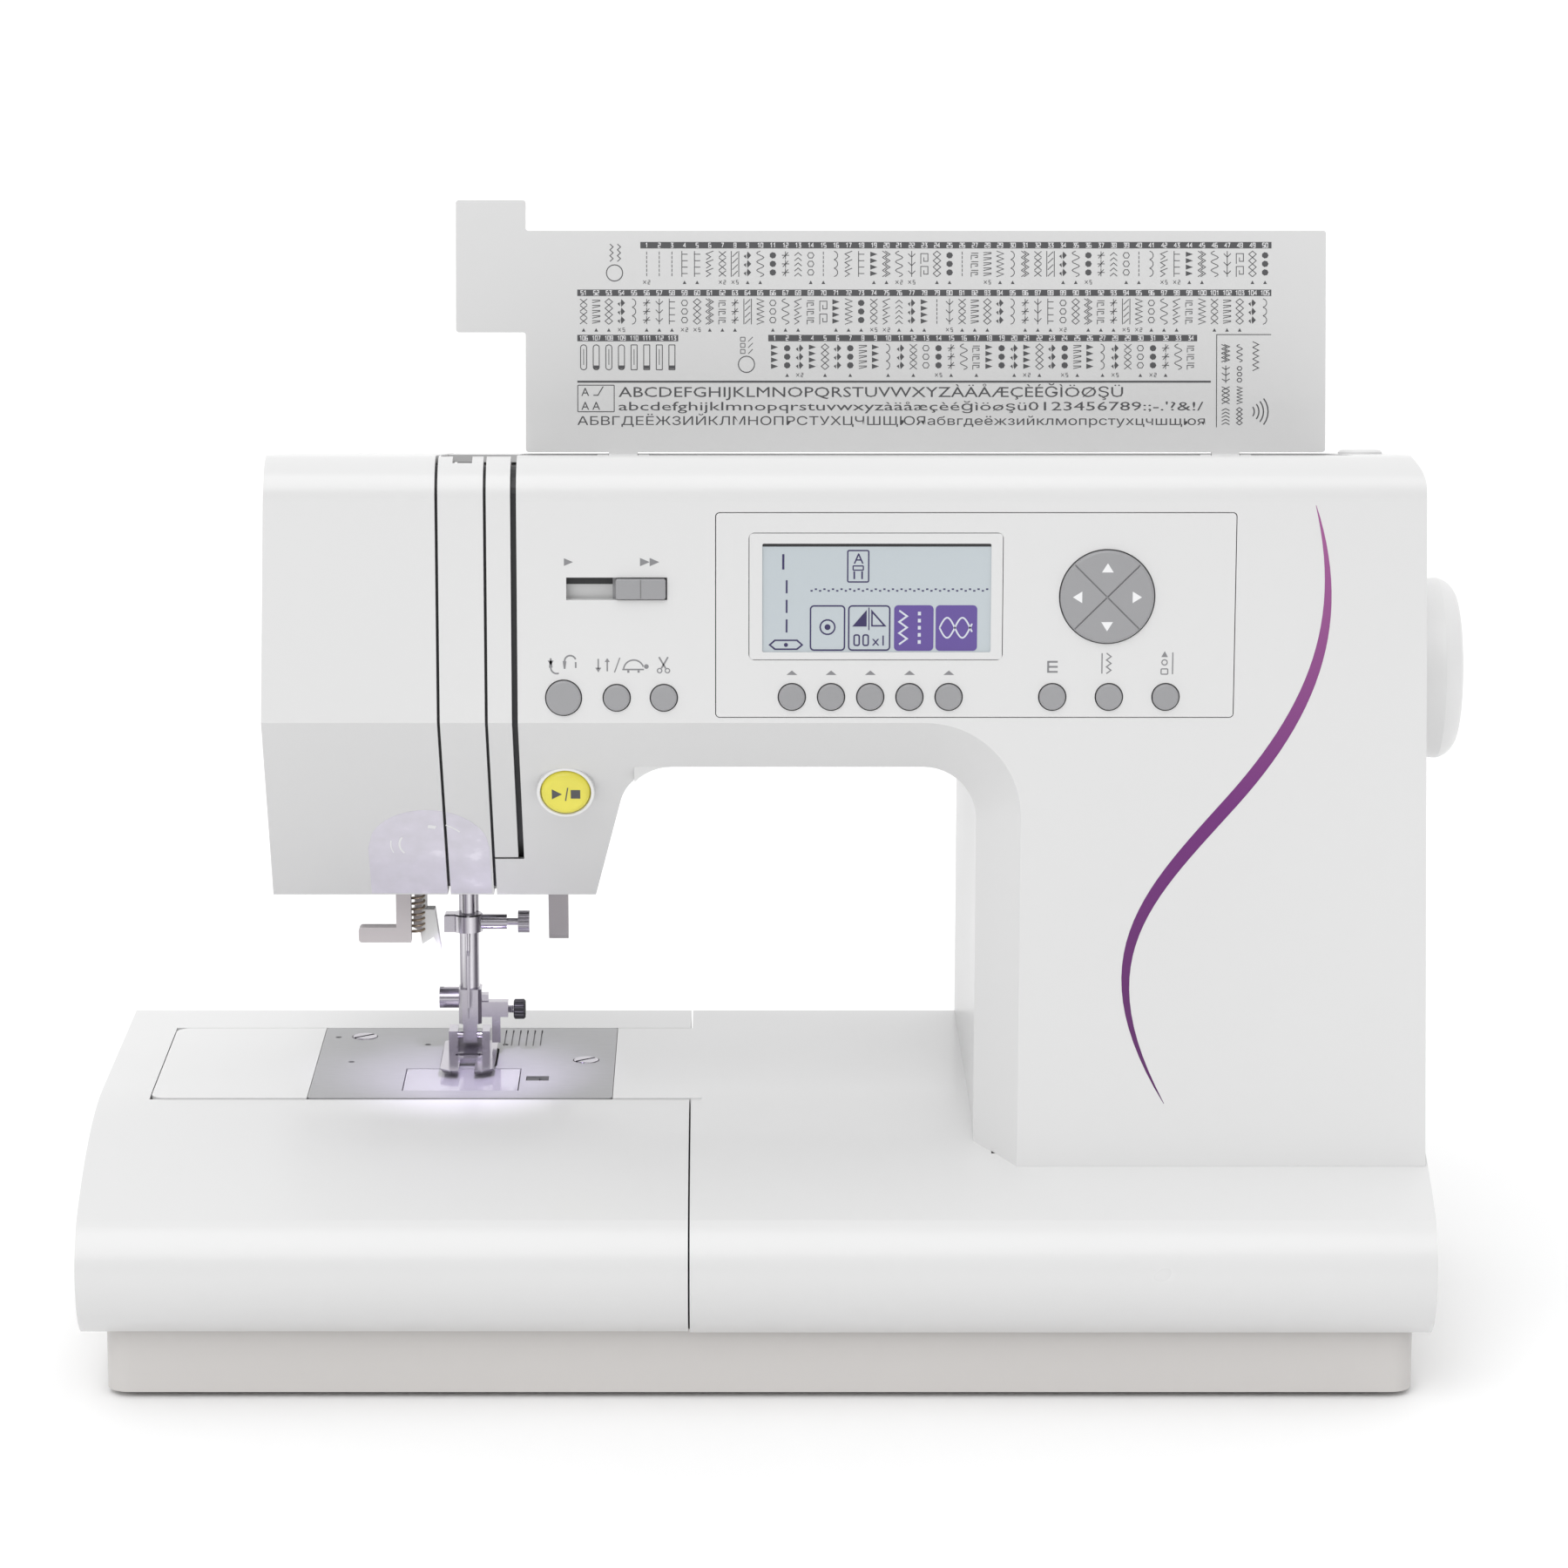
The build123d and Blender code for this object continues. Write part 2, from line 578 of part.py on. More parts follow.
with BuildPart() as top_deck:
    add(block(DECK_LEFT, DECK_RIGHT, LID_FRONT - 0.1, DECK_REAR - 0.2, DECK_FLOOR, 320))
    add(
        block(
            DECK_LEFT + DECK_WALL,
            DECK_RIGHT - DECK_WALL,
            LID_FRONT + DECK_WALL,
            DECK_REAR - 0.2 - DECK_WALL,
            DECK_FLOOR + 2,
            321,
        ),
        mode=Mode.SUBTRACT,
    )
    with BuildSketch(side_plane(DECK_LEFT - 1)):
        with BuildLine():
            Polyline(
                (-90, top_z(-90) - under_lid),
                (60, top_z(60) - under_lid),
                (60, 340),
                (-90, 340),
                close=True,
            )
        make_face()
    extrude(amount=DECK_RIGHT - DECK_LEFT + 2, mode=Mode.SUBTRACT)
    # guide posts, spool pin bracket and hinge ears
    add(block(-30, -22, -40, -33, DECK_FLOOR + 1, 310))
    add(block(60, 73, -31, -22, DECK_FLOOR + 1, 309))
    add(block(128, 134, SPOOL_Y - 8, SPOOL_Y + 8, DECK_FLOOR + 1, SPOOL_Z + 5))
    for start, end in EARS:
        add(block(start, end, HINGE_Y - 2, DECK_REAR - 1, DECK_FLOOR + 1, HINGE_Z))
        add(rod(at(start, HINGE_Y, HINGE_Z, RIGHTWARDS), 2.2, end - start))
        add(rod(at(start - 0.5, HINGE_Y, HINGE_Z, RIGHTWARDS), 1.25, end - start + 1), mode=Mode.SUBTRACT)
    add(rod(at(WINDER_X, WINDER_Y, DECK_FLOOR - 1, UPWARDS), 3.05, 5), mode=Mode.SUBTRACT)
save(top_deck.part, "top_deck")

along_lid = (0, cos(radians(LID_OPEN_ANGLE)), sin(radians(LID_OPEN_ANGLE)))
lid_normal = (0, -along_lid[2], along_lid[1])
lid_plane = Plane(origin=(0, HINGE_Y, HINGE_Z), x_dir=(1, 0, 0), z_dir=lid_normal)
HINGE_CLEAR = 3.0
with BuildPart() as top_lid:
    with BuildSketch(lid_plane):
        with BuildLine():
            Polyline(
                (LID_LEFT, HINGE_CLEAR),
                (LID_RIGHT, HINGE_CLEAR),
                (LID_RIGHT, LID_LENGTH),
                (LID_LEFT, LID_LENGTH),
                (LID_LEFT, TAB_END),
                (TAB_LEFT, TAB_END),
                (TAB_LEFT, TAB_START),
                (LID_LEFT, TAB_START),
                close=True,
            )
        lid_face = make_face()
        fillet(lid_face.vertices(), 1.0)
        for start, end in KNUCKLES:
            with Locations(((start + end) / 2, HINGE_CLEAR / 2 + 0.5)):
                Rectangle(end - start, HINGE_CLEAR + 1)
    extrude(amount=-LID_THICKNESS)
    for start, end in KNUCKLES:
        add(rod(at(start, HINGE_Y, HINGE_Z, RIGHTWARDS), 2.2, end - start))
        add(rod(at(start - 3, HINGE_Y, HINGE_Z, RIGHTWARDS), 1.2, end - start + 6))
save(top_lid.part, "top_lid")

with BuildPart() as spool_pin:
    add(rod(at(64, SPOOL_Y, SPOOL_Z, RIGHTWARDS), 2.6, 64))
    add(rod(at(124, SPOOL_Y, SPOOL_Z, RIGHTWARDS), 7, 3.6))
save(spool_pin.part, "spool_pin")

with BuildPart() as bobbin_winder:
    add(rod(at(WINDER_X, WINDER_Y, DECK_FLOOR - 8, UPWARDS), 3, 27))
    add(rod(at(WINDER_X, WINDER_Y, DECK_FLOOR + 2.4, UPWARDS), 6.5, 2))
    add(rod(at(WINDER_X, WINDER_Y, DECK_FLOOR - 8, UPWARDS), 8, 5))
save(bobbin_winder.part, "bobbin_winder")

# ---------------------------------------------------------------- needle plate and bobbin
PLATE_LEFT = -164.6
PLATE_RIGHT = -58.7
PLATE_THICKNESS = 2.0
PLATE_Z = BED_TOP - PLATE_THICKNESS
COVER_LEFT = -132.0
COVER_RIGHT = -92.0
COVER_FRONT = -14.0
COVER_REAR = 15.0
LATCH_X = -85.5
LATCH_Y = 2.0
SCREWS = [(-150.0, 60.0), (-69.0, 27.0)]
SCREW_RADIUS = 4.4
FEED_FRONT = 17.5
FEED_REAR = 44.0

with BuildPart() as needle_plate:
    with BuildSketch(Plane.XY.offset(PLATE_Z)) as plate_plan:
        with Locations(((PLATE_LEFT + PLATE_RIGHT) / 2, (ARM_FRONT + ARM_BACK) / 2)):
            Rectangle(PLATE_RIGHT - PLATE_LEFT, ARM_BACK - ARM_FRONT)
        fillet(plate_plan.vertices(), 1.5)
        with Locations((NEEDLE_X, NEEDLE_Y)):
            SlotOverall(9, 2, mode=Mode.SUBTRACT)
        with Locations(*[(NEEDLE_X + shift, (FEED_FRONT + FEED_REAR) / 2) for shift in (-8, 8)]):
            SlotOverall(FEED_REAR - FEED_FRONT, 4.2, rotation=90, mode=Mode.SUBTRACT)
        with Locations((NEEDLE_X, 36)):
            SlotOverall(14, 4.6, rotation=90, mode=Mode.SUBTRACT)
        with Locations(((COVER_LEFT + COVER_RIGHT) / 2, (COVER_FRONT + COVER_REAR) / 2)):
            Rectangle(COVER_RIGHT - COVER_LEFT + 0.8, COVER_REAR - COVER_FRONT + 0.8, mode=Mode.SUBTRACT)
        with Locations((LATCH_X, LATCH_Y)):
            Rectangle(8, 6, mode=Mode.SUBTRACT)
        with Locations((-159.5, 59), (-126.5, 48.5), (-152.5, 24.5), (-98.6, 48.5)):
            Circle(1.1, mode=Mode.SUBTRACT)
    extrude(amount=PLATE_THICKNESS)
    with BuildSketch(Plane.XY.offset(BED_TOP)):
        with Locations(*SCREWS):
            Circle(SCREW_RADIUS + 0.3)
        with Locations(*[(-99 + 2.6 * index, 58) for index in range(6)]):
            Rectangle(0.5, 22)
    extrude(amount=-0.9, mode=Mode.SUBTRACT)
    with BuildSketch(Plane.XY.offset(BED_TOP)):
        with Locations(*SCREWS):
            Circle(1.6)
    extrude(amount=-PLATE_THICKNESS - 1, mode=Mode.SUBTRACT)
save(needle_plate.part, "needle_plate")

with BuildPart() as plate_screws:
    with BuildSketch(Plane.XY.offset(BED_TOP - 0.9)):
        with Locations(*SCREWS):
            Circle(SCREW_RADIUS)
    extrude(amount=1.2)
    crowns = plate_screws.edges().filter_by(GeomType.CIRCLE).group_by(Axis.Z)[-1]
    fillet(crowns, 0.4)
    with BuildSketch(Plane.XY.offset(BED_TOP + 1)):
        with Locations(*SCREWS):
            Rectangle(2 * SCREW_RADIUS + 1, 1.2, rotation=38)
    extrude(amount=-1.5, mode=Mode.SUBTRACT)
    with BuildSketch(Plane.XY.offset(BED_TOP - 0.9)):
        with Locations(*SCREWS):
            Circle(1.5)
    extrude(amount=-3.0)
save(plate_screws.part, "plate_screws")

with BuildPart() as bobbin_cover:
    with BuildSketch(Plane.XY.offset(PLATE_Z + 0.2)) as cover_plan:
        with Locations(((COVER_LEFT + COVER_RIGHT) / 2, (COVER_FRONT + COVER_REAR) / 2)):
            Rectangle(COVER_RIGHT - COVER_LEFT, COVER_REAR - COVER_FRONT)
        fillet(cover_plan.vertices().group_by(Axis.Y)[0], 0.38)
    extrude(amount=PLATE_THICKNESS - 0.3)
save(bobbin_cover.part, "bobbin_cover")

with BuildPart() as cover_latch:
    add(block(LATCH_X - 3.8, LATCH_X + 0.6, LATCH_Y - 2.7, LATCH_Y + 2.7, PLATE_Z - 1.5, BED_TOP - 0.3))
save(cover_latch.part, "cover_latch")

with BuildPart() as feed_dog:
    with BuildSketch(Plane.XY.offset(PLATE_Z - 6)):
        with Locations((NEEDLE_X, 32)):
            Rectangle(21, 14)
            Rectangle(10, 40, mode=Mode.SUBTRACT)
    extrude(amount=3)
    add(block(NEEDLE_X - 10, NEEDLE_X + 10, 42, 48, PLATE_Z - 6, PLATE_Z - 3))
    add(block(NEEDLE_X - 10, NEEDLE_X - 5, 38, 48, PLATE_Z - 6, PLATE_Z - 3))
    add(block(NEEDLE_X + 5, NEEDLE_X + 10, 38, 48, PLATE_Z - 6, PLATE_Z - 3))
    for shift in (-8, 8):
        x = NEEDLE_X + shift
        add(block(x - 1.4, x + 1.4, 23.6, 40, PLATE_Z - 6, BED_TOP - 0.1))
        with BuildSketch(side_plane(x - 2)):
            for index in range(11):
                with Locations((24.4 + 1.5 * index, BED_TOP - 0.05)):
                    Rectangle(0.9, 0.9, rotation=45)
        extrude(amount=4, mode=Mode.SUBTRACT)
save(feed_dog.part, "feed_dog")

with BuildPart() as rotary_hook:
    with BuildSketch(Plane.XY.offset(64)):
        with Locations((NEEDLE_X, HOOK_Y)):
            Circle(17.2)
    extrude(amount=16)
    with BuildSketch(Plane.XY.offset(66)):
        with Locations((NEEDLE_X, HOOK_Y)):
            Circle(14.8)
    extrude(amount=15, mode=Mode.SUBTRACT)
    add(rod(at(NEEDLE_X, HOOK_Y, 49.5, UPWARDS), 4, 15))
    add(rod(at(NEEDLE_X, HOOK_Y, 50.5, UPWARDS), 11, 9))
save(rotary_hook.part, "rotary_hook")

with BuildPart() as bobbin_case:
    add(rod(at(NEEDLE_X, HOOK_Y, 66.5, UPWARDS), 14.3, 15.5, 12.2))
    add(rod(at(NEEDLE_X, HOOK_Y, 66.5, UPWARDS), 13, 1.5))
    add(rod(at(NEEDLE_X, HOOK_Y, 82, UPWARDS), 17.5, 2, 12.2))
save(bobbin_case.part, "bobbin_case")

with BuildPart() as bobbin:
    add(rod(at(NEEDLE_X, HOOK_Y, 69, UPWARDS), 10.2, 1.2, 3))
    add(rod(at(NEEDLE_X, HOOK_Y, 79, UPWARDS), 10.2, 1.2, 3))
    add(rod(at(NEEDLE_X, HOOK_Y, 69, UPWARDS), 5, 11.2, 3))
save(bobbin.part, "bobbin")

# ---------------------------------------------------------------- cast frame and shafts
FRAME_FRONT = 44.0
FRAME_REAR = 56.0
SHAFT_RADIUS = 5.0
LOWER_RADIUS = 4.0
BAR_RADIUS = 3.0
PRESSER_RADIUS = 3.5
RUNNING_FIT = 0.05
TAKE_UP_Y = -5.0
TAKE_UP_Z = 258.0
LIFTER_Y = 52.0
LIFTER_Z = 176.0
STROKE = 28.0
BELT_LEFT = 180.0
BELT_WIDTH = 8.0
PULLEY_RADIUS = 14.0

frame_blocks = [
    (-124, 160, FRAME_FRONT, FRAME_REAR, 240, 252),
    (118, 146, FRAME_FRONT, FRAME_REAR, FOOT_HEIGHT + WALL, 252),
    (-200, 146, FRAME_FRONT, FRAME_REAR, 50, 62),
    (-124, -98, 46, FRAME_REAR, 164, 252),
    (-120, -102.5, 16, 47, 166, 178),
    (-120, -102.5, 16, 47, 240, 252),
    (-86, -78, 14, 45, 219, 252),
    (-86, -78, TAKE_UP_Y - 6, 20, 243, 266),
    (60, 68, 14, 45, 219, 252),
    (150, 158, 14, 45, 219, 252),
    (-80, -74, 14, 45, 47, 62),
    (100, 108, 14, 45, 47, 62),
    (-100, -92, 5, 45, 60.5, 63),
    (-122, -92, -4, 14, 60.5, 63),
]
frame_bores = [
    (at(-90, NEEDLE_Y, SHAFT_Z, RIGHTWARDS), SHAFT_RADIUS, 260),
    (at(-90, NEEDLE_Y, LOWER_SHAFT_Z, RIGHTWARDS), LOWER_RADIUS, 200),
    (at(NEEDLE_X, NEEDLE_Y, 160, UPWARDS), BAR_RADIUS, 100),
    (at(NEEDLE_X, PRESSER_Y, 160, UPWARDS), PRESSER_RADIUS, 100),
    (at(-90, TAKE_UP_Y, TAKE_UP_Z, RIGHTWARDS), 1.5, 20),
    (at(-106, LIFTER_Y, LIFTER_Z, RIGHTWARDS), 2.0, 10),
    (at(NEEDLE_X, HOOK_Y, 60, UPWARDS), 4.0, 4),
]
with BuildPart() as machine_frame:
    for limits in frame_blocks:
        add(block(*limits))
    for plane, radius, length in frame_bores:
        add(rod(plane, radius + RUNNING_FIT, length), mode=Mode.SUBTRACT)
save(machine_frame.part, "machine_frame")

WHEEL_RADIUS = 31.6
WHEEL_INNER_X = 216.8
WHEEL_OUTER_X = 236.9
SHAFT_END = 228.0
with BuildPart() as main_shaft:
    add(rod(at(-97, NEEDLE_Y, SHAFT_Z, RIGHTWARDS), SHAFT_RADIUS, SHAFT_END + 97))
    add(rod(at(-97, NEEDLE_Y, SHAFT_Z, RIGHTWARDS), STROKE / 2 + 3, 6))
    add(rod(at(-101, NEEDLE_Y, SHAFT_Z + STROKE / 2, RIGHTWARDS), 2, 5))
    add(rod(at(BELT_LEFT, NEEDLE_Y, SHAFT_Z, RIGHTWARDS), PULLEY_RADIUS, BELT_WIDTH))
save(main_shaft.part, "main_shaft")

with BuildPart() as handwheel:
    with BuildSketch(Plane.XY.offset(SHAFT_Z)):
        with BuildLine():
            rim = NEEDLE_Y + WHEEL_RADIUS
            Line((SHAFT_END, NEEDLE_Y), (WHEEL_OUTER_X, NEEDLE_Y))
            Line((WHEEL_OUTER_X, NEEDLE_Y), (WHEEL_OUTER_X - 0.8, rim - 9))
            ThreePointArc(
                (WHEEL_OUTER_X - 0.8, rim - 9),
                (WHEEL_OUTER_X - 2.6, rim - 3),
                (WHEEL_OUTER_X - 7.5, rim),
            )
            Line((WHEEL_OUTER_X - 7.5, rim), (WHEEL_INNER_X, rim - 0.8))
            Line((WHEEL_INNER_X, rim - 0.8), (WHEEL_INNER_X, NEEDLE_Y + SHAFT_RADIUS))
            Line((WHEEL_INNER_X, NEEDLE_Y + SHAFT_RADIUS), (SHAFT_END, NEEDLE_Y + SHAFT_RADIUS))
            Line((SHAFT_END, NEEDLE_Y + SHAFT_RADIUS), (SHAFT_END, NEEDLE_Y))
        make_face()
    revolve(axis=Axis((0, NEEDLE_Y, SHAFT_Z), (1, 0, 0)))
save(handwheel.part, "handwheel")

with BuildPart() as lower_shaft:
    add(rod(at(-118, NEEDLE_Y, LOWER_SHAFT_Z, RIGHTWARDS), LOWER_RADIUS, 310))
    add(rod(at(-117, NEEDLE_Y, LOWER_SHAFT_Z, RIGHTWARDS), 6.8, 13))
    add(rod(at(BELT_LEFT, NEEDLE_Y, LOWER_SHAFT_Z, RIGHTWARDS), PULLEY_RADIUS, BELT_WIDTH))
save(lower_shaft.part, "lower_shaft")

with BuildPart() as drive_belt:
    with BuildSketch(side_plane(BELT_LEFT + 0.5)):
        with Locations((NEEDLE_Y, (SHAFT_Z + LOWER_SHAFT_Z) / 2)):
            SlotCenterToCenter(SHAFT_Z - LOWER_SHAFT_Z, 2 * PULLEY_RADIUS + 3.6, rotation=90)
            SlotCenterToCenter(
                SHAFT_Z - LOWER_SHAFT_Z, 2 * PULLEY_RADIUS + 0.4, rotation=90, mode=Mode.SUBTRACT
            )
    extrude(amount=BELT_WIDTH - 1)
save(drive_belt.part, "drive_belt")

with BuildPart() as take_up_lever:
    with BuildSketch(side_plane(SLOT_RIGHT - 0.6)):
        with BuildLine():
            Polyline((TAKE_UP_Y, TAKE_UP_Z), (-42, 252), (-60, 240))
        trace(line_width=5)
        with Locations((TAKE_UP_Y, TAKE_UP_Z), (-60, 240)):
            Circle(4)
        with Locations((-60, 240)):
            Circle(1.4, mode=Mode.SUBTRACT)
    extrude(amount=1.2)
    add(rod(at(SLOT_RIGHT, TAKE_UP_Y, TAKE_UP_Z, RIGHTWARDS), 1.5, 12.5))
save(take_up_lever.part, "take_up_lever")

with BuildPart() as motor:
    add(rod(at(152, 62, 125, RIGHTWARDS), 21, 36))
    add(rod(at(149, 62, 125, RIGHTWARDS), 9, 42))
    add(block(156, 184, 60, 94, 100, 106))
save(motor.part, "motor")

with BuildPart() as main_board:
    add(block(-24, 118, -56, -54.4, 234, 276))
    for x, width in ((-14, 18), (20, 26), (70, 14), (96, 12)):
        add(block(x, x + width, -59, -55.5, 246, 262))
save(main_board.part, "main_board")

# ---------------------------------------------------------------- needle and presser
CLAMP_Z = 139.5
CLAMP_HALF = 3.15
NEEDLE_TIP = 104.0
with BuildPart() as needle_bar:
    add(rod(at(NEEDLE_X, NEEDLE_Y, CLAMP_Z + CLAMP_HALF, UPWARDS), BAR_RADIUS, 142))
save(needle_bar.part, "needle_bar")

with BuildPart() as needle_clamp:
    with BuildSketch(Plane.XY.offset(CLAMP_Z - CLAMP_HALF)):
        with Locations((NEEDLE_X, NEEDLE_Y)):
            Circle(5.4)
            with Locations((-4.2, 0)):
                Rectangle(8, 6)
    extrude(amount=2 * CLAMP_HALF)
    chamfer(needle_clamp.edges().group_by(Axis.Z)[-1], 0.5)
    add(rod(at(NEEDLE_X + 3, NEEDLE_Y, CLAMP_Z, RIGHTWARDS), 2.6, -96.7 - NEEDLE_X - 3))
    add(rod(at(NEEDLE_X, NEEDLE_Y, CLAMP_Z - 5.5, UPWARDS), 1.0, 5))
save(needle_clamp.part, "needle_clamp")

with BuildPart() as clamp_screw:
    add(rod(at(-96.7, NEEDLE_Y, CLAMP_Z, RIGHTWARDS), 1.2, 4))
    add(rod(at(-92.7, NEEDLE_Y, CLAMP_Z, RIGHTWARDS), 3.9, 4))
    with BuildSketch(at(-93, NEEDLE_Y, CLAMP_Z, RIGHTWARDS)):
        with PolarLocations(3.95, 20):
            Circle(0.28)
    extrude(amount=5, mode=Mode.SUBTRACT)
save(clamp_screw.part, "clamp_screw")

with BuildPart() as needle:
    with BuildSketch(Plane(origin=(NEEDLE_X, NEEDLE_Y, 0), x_dir=(1, 0, 0), z_dir=(0, -1, 0))):
        with BuildLine():
            Polyline(
                (0, NEEDLE_TIP),
                (0.15, NEEDLE_TIP),
                (0.45, NEEDLE_TIP + 4),
                (0.45, 127),
                (0.9, 129),
                (0.9, CLAMP_Z - 5.5),
                (0, CLAMP_Z - 5.5),
                close=True,
            )
        make_face()
    revolve(axis=Axis((NEEDLE_X, NEEDLE_Y, 0), (0, 0, 1)))
save(needle.part, "needle")

ANKLE_TOP = 112.6
ANKLE_BOTTOM = 100.0
PIVOT_Y = 34.0
PIVOT_Z = 95.5
with BuildPart() as presser_bar:
    add(rod(at(NEEDLE_X, PRESSER_Y, ANKLE_TOP, UPWARDS), PRESSER_RADIUS, 152))
    add(rod(at(NEEDLE_X, PRESSER_Y, 196, UPWARDS), 6, 4))
save(presser_bar.part, "presser_bar")

with BuildPart() as presser_spring:
    add(rod(at(NEEDLE_X, PRESSER_Y, 200.1, UPWARDS), 5.4, 39.7, PRESSER_RADIUS + 0.5))
save(presser_spring.part, "presser_spring")

with BuildPart() as presser_ankle:
    add(block(-114.5, -106.4, 31.5, 41, ANKLE_BOTTOM, ANKLE_TOP))
    chamfer(presser_ankle.edges().filter_by(Axis.Z), 1.2)
    add(block(-113, -108, 31.5, 38, PIVOT_Z - 2.4, ANKLE_BOTTOM + 1))
    add(rod(at(-120, PIVOT_Y, PIVOT_Z, RIGHTWARDS), 1.25, 20), mode=Mode.SUBTRACT)
    # the bracket that holds a quilting guide, reaching to the right of the ankle
    add(block(-107, -97, 34, 38.5, 102, 107.5))
    add(block(-102.8, -99.8, 34, 38, 92.6, 103))
    add(block(-106.5, -104, 35, 39, 105, 110))
save(presser_ankle.part, "presser_ankle")

with BuildPart() as ankle_screw:
    add(rod(at(-121.4, PRESSER_Y, 108.8, RIGHTWARDS), 3.8, 6.9))
    with BuildSketch(at(-121.5, PRESSER_Y, 108.8, RIGHTWARDS)):
        Rectangle(9, 1.1)
    extrude(amount=1.6, mode=Mode.SUBTRACT)
save(ankle_screw.part, "ankle_screw")

SOLE_Z = 89.2
with BuildPart() as zigzag_foot:
    with BuildSketch(Plane.XY.offset(SOLE_Z)):
        with BuildLine():
            FilletPolyline(
                (-120, 44),
                (-120, 5),
                (-116, 2),
                (-105, 2),
                (-101, 5),
                (-101, 44),
                close=True,
                radius=1.5,
            )
        make_face()
        with Locations((NEEDLE_X, 24)):
            SlotOverall(10, 3.4, mode=Mode.SUBTRACT)
        with Locations((NEEDLE_X, 10)):
            Rectangle(5.6, 17, mode=Mode.SUBTRACT)
    extrude(amount=1.6)
    toes = zigzag_foot.edges().filter_by(Axis.X).group_by(Axis.Z)[0].group_by(Axis.Y)[0]
    chamfer(toes, 1.2)
    for x0, x1 in ((-118, -114.8), (-106.2, -103.4)):
        add(block(x0, x1, 29, 39, SOLE_Z + 1, PIVOT_Z + 2.5))
    add(block(-118, -103.4, 39.2, 42, SOLE_Z + 1, PIVOT_Z - 1))
    add(rod(at(-117, PIVOT_Y, PIVOT_Z, RIGHTWARDS), 1.2, 13))
save(zigzag_foot.part, "zigzag_foot")

with BuildPart() as presser_lifter:
    with BuildSketch(side_plane(-83)):
        with BuildLine():
            Polyline((LIFTER_Y, LIFTER_Z), (LIFTER_Y + 3, 155), (LIFTER_Y + 9, 128))
        trace(line_width=7)
        with Locations((LIFTER_Y, LIFTER_Z)):
            Circle(5)
        with Locations((LIFTER_Y + 9, 128)):
            Circle(3.5)
    extrude(amount=7)
    add(rod(at(-104, LIFTER_Y, LIFTER_Z, RIGHTWARDS), 2.0, 22))
save(presser_lifter.part, "presser_lifter")

THREADER_X = -126.5
with BuildPart() as threader_lever:
    add(rod(at(THREADER_X, 14, 146, UPWARDS), 2.3, 64))
    add(block(-134.8, -129.6, 6, 11.5, 136.2, 205))
    with BuildSketch(front_plane(11.5)):
        with BuildLine():
            FilletPolyline(
                (-148, 136.2),
                (-130, 136.2),
                (-130, 141.6),
                (-148, 141.6),
                close=True,
                radius=1.2,
            )
        make_face()
    extrude(amount=5.5)
    add(block(-134.8, THREADER_X, 6, 16, 197, 205))
    with BuildSketch(front_plane(17)):
        with BuildLine():
            Polyline(
                (-129, 146.9),
                (-121.5, 146.9),
                (-119.4, 131.7),
                (-122, 137),
                (-126, 134.5),
                (-126.6, 139),
                (-129, 140.5),
                close=True,
            )
        make_face()
    extrude(amount=6)
save(threader_lever.part, "threader_lever")

# ---------------------------------------------------------------- power inlet and switch
SIDE_X = 218.6
with BuildPart() as power_inlet:
    add(block(200, SIDE_X, 38.6, 87.4, 90.6, 121.4))
    with BuildSketch(side_plane(SIDE_X)):
        with Locations((72, 106)):
            RectangleRounded(21, 15, 2.5)
    extrude(amount=-12, mode=Mode.SUBTRACT)
    with BuildSketch(side_plane(SIDE_X - 13)):
        with Locations((66, 106), (78, 106)):
            Circle(1.2)
    extrude(amount=9)
    with BuildSketch(side_plane(SIDE_X)):
        with Locations((49, 106)):
            Rectangle(13, 22)
    extrude(amount=-9, mode=Mode.SUBTRACT)
save(power_inlet.part, "power_inlet")

with BuildPart() as power_switch:
    with BuildSketch(Plane(origin=(0, 43, 0), x_dir=(1, 0, 0), z_dir=(0, -1, 0)).offset(-12)):
        with BuildLine():
            Polyline(
                (SIDE_X - 5, 98),
                (SIDE_X - 0.4, 96.6),
                (SIDE_X, 106),
                (SIDE_X + 1.6, 115),
                (SIDE_X - 5, 114),
                close=True,
            )
        make_face()
    extrude(amount=12)
save(power_switch.part, "power_switch")
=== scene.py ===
import json
import math

import bmesh
import bpy
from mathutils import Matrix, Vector


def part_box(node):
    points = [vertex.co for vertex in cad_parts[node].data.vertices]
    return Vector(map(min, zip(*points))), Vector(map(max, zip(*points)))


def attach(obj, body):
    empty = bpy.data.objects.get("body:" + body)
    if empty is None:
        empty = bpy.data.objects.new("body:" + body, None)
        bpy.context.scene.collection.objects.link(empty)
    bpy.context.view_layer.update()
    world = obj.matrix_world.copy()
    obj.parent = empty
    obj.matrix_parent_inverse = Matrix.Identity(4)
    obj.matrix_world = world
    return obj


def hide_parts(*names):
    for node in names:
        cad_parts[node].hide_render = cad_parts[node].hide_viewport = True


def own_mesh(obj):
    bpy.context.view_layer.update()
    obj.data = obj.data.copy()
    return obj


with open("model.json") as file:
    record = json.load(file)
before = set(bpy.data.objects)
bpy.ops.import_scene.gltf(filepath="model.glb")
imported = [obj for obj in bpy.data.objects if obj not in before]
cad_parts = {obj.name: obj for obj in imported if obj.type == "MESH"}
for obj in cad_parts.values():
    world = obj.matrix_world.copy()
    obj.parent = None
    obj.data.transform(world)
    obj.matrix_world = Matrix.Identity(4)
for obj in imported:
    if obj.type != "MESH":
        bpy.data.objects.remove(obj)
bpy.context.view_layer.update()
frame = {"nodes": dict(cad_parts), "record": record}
nodes = frame["nodes"]

MM = 0.001
HOOK_EDGE = -0.1262  # where the threader's white hook starts, in metres
INK = 0.04  # millimetres that printed marks stand proud of their surface

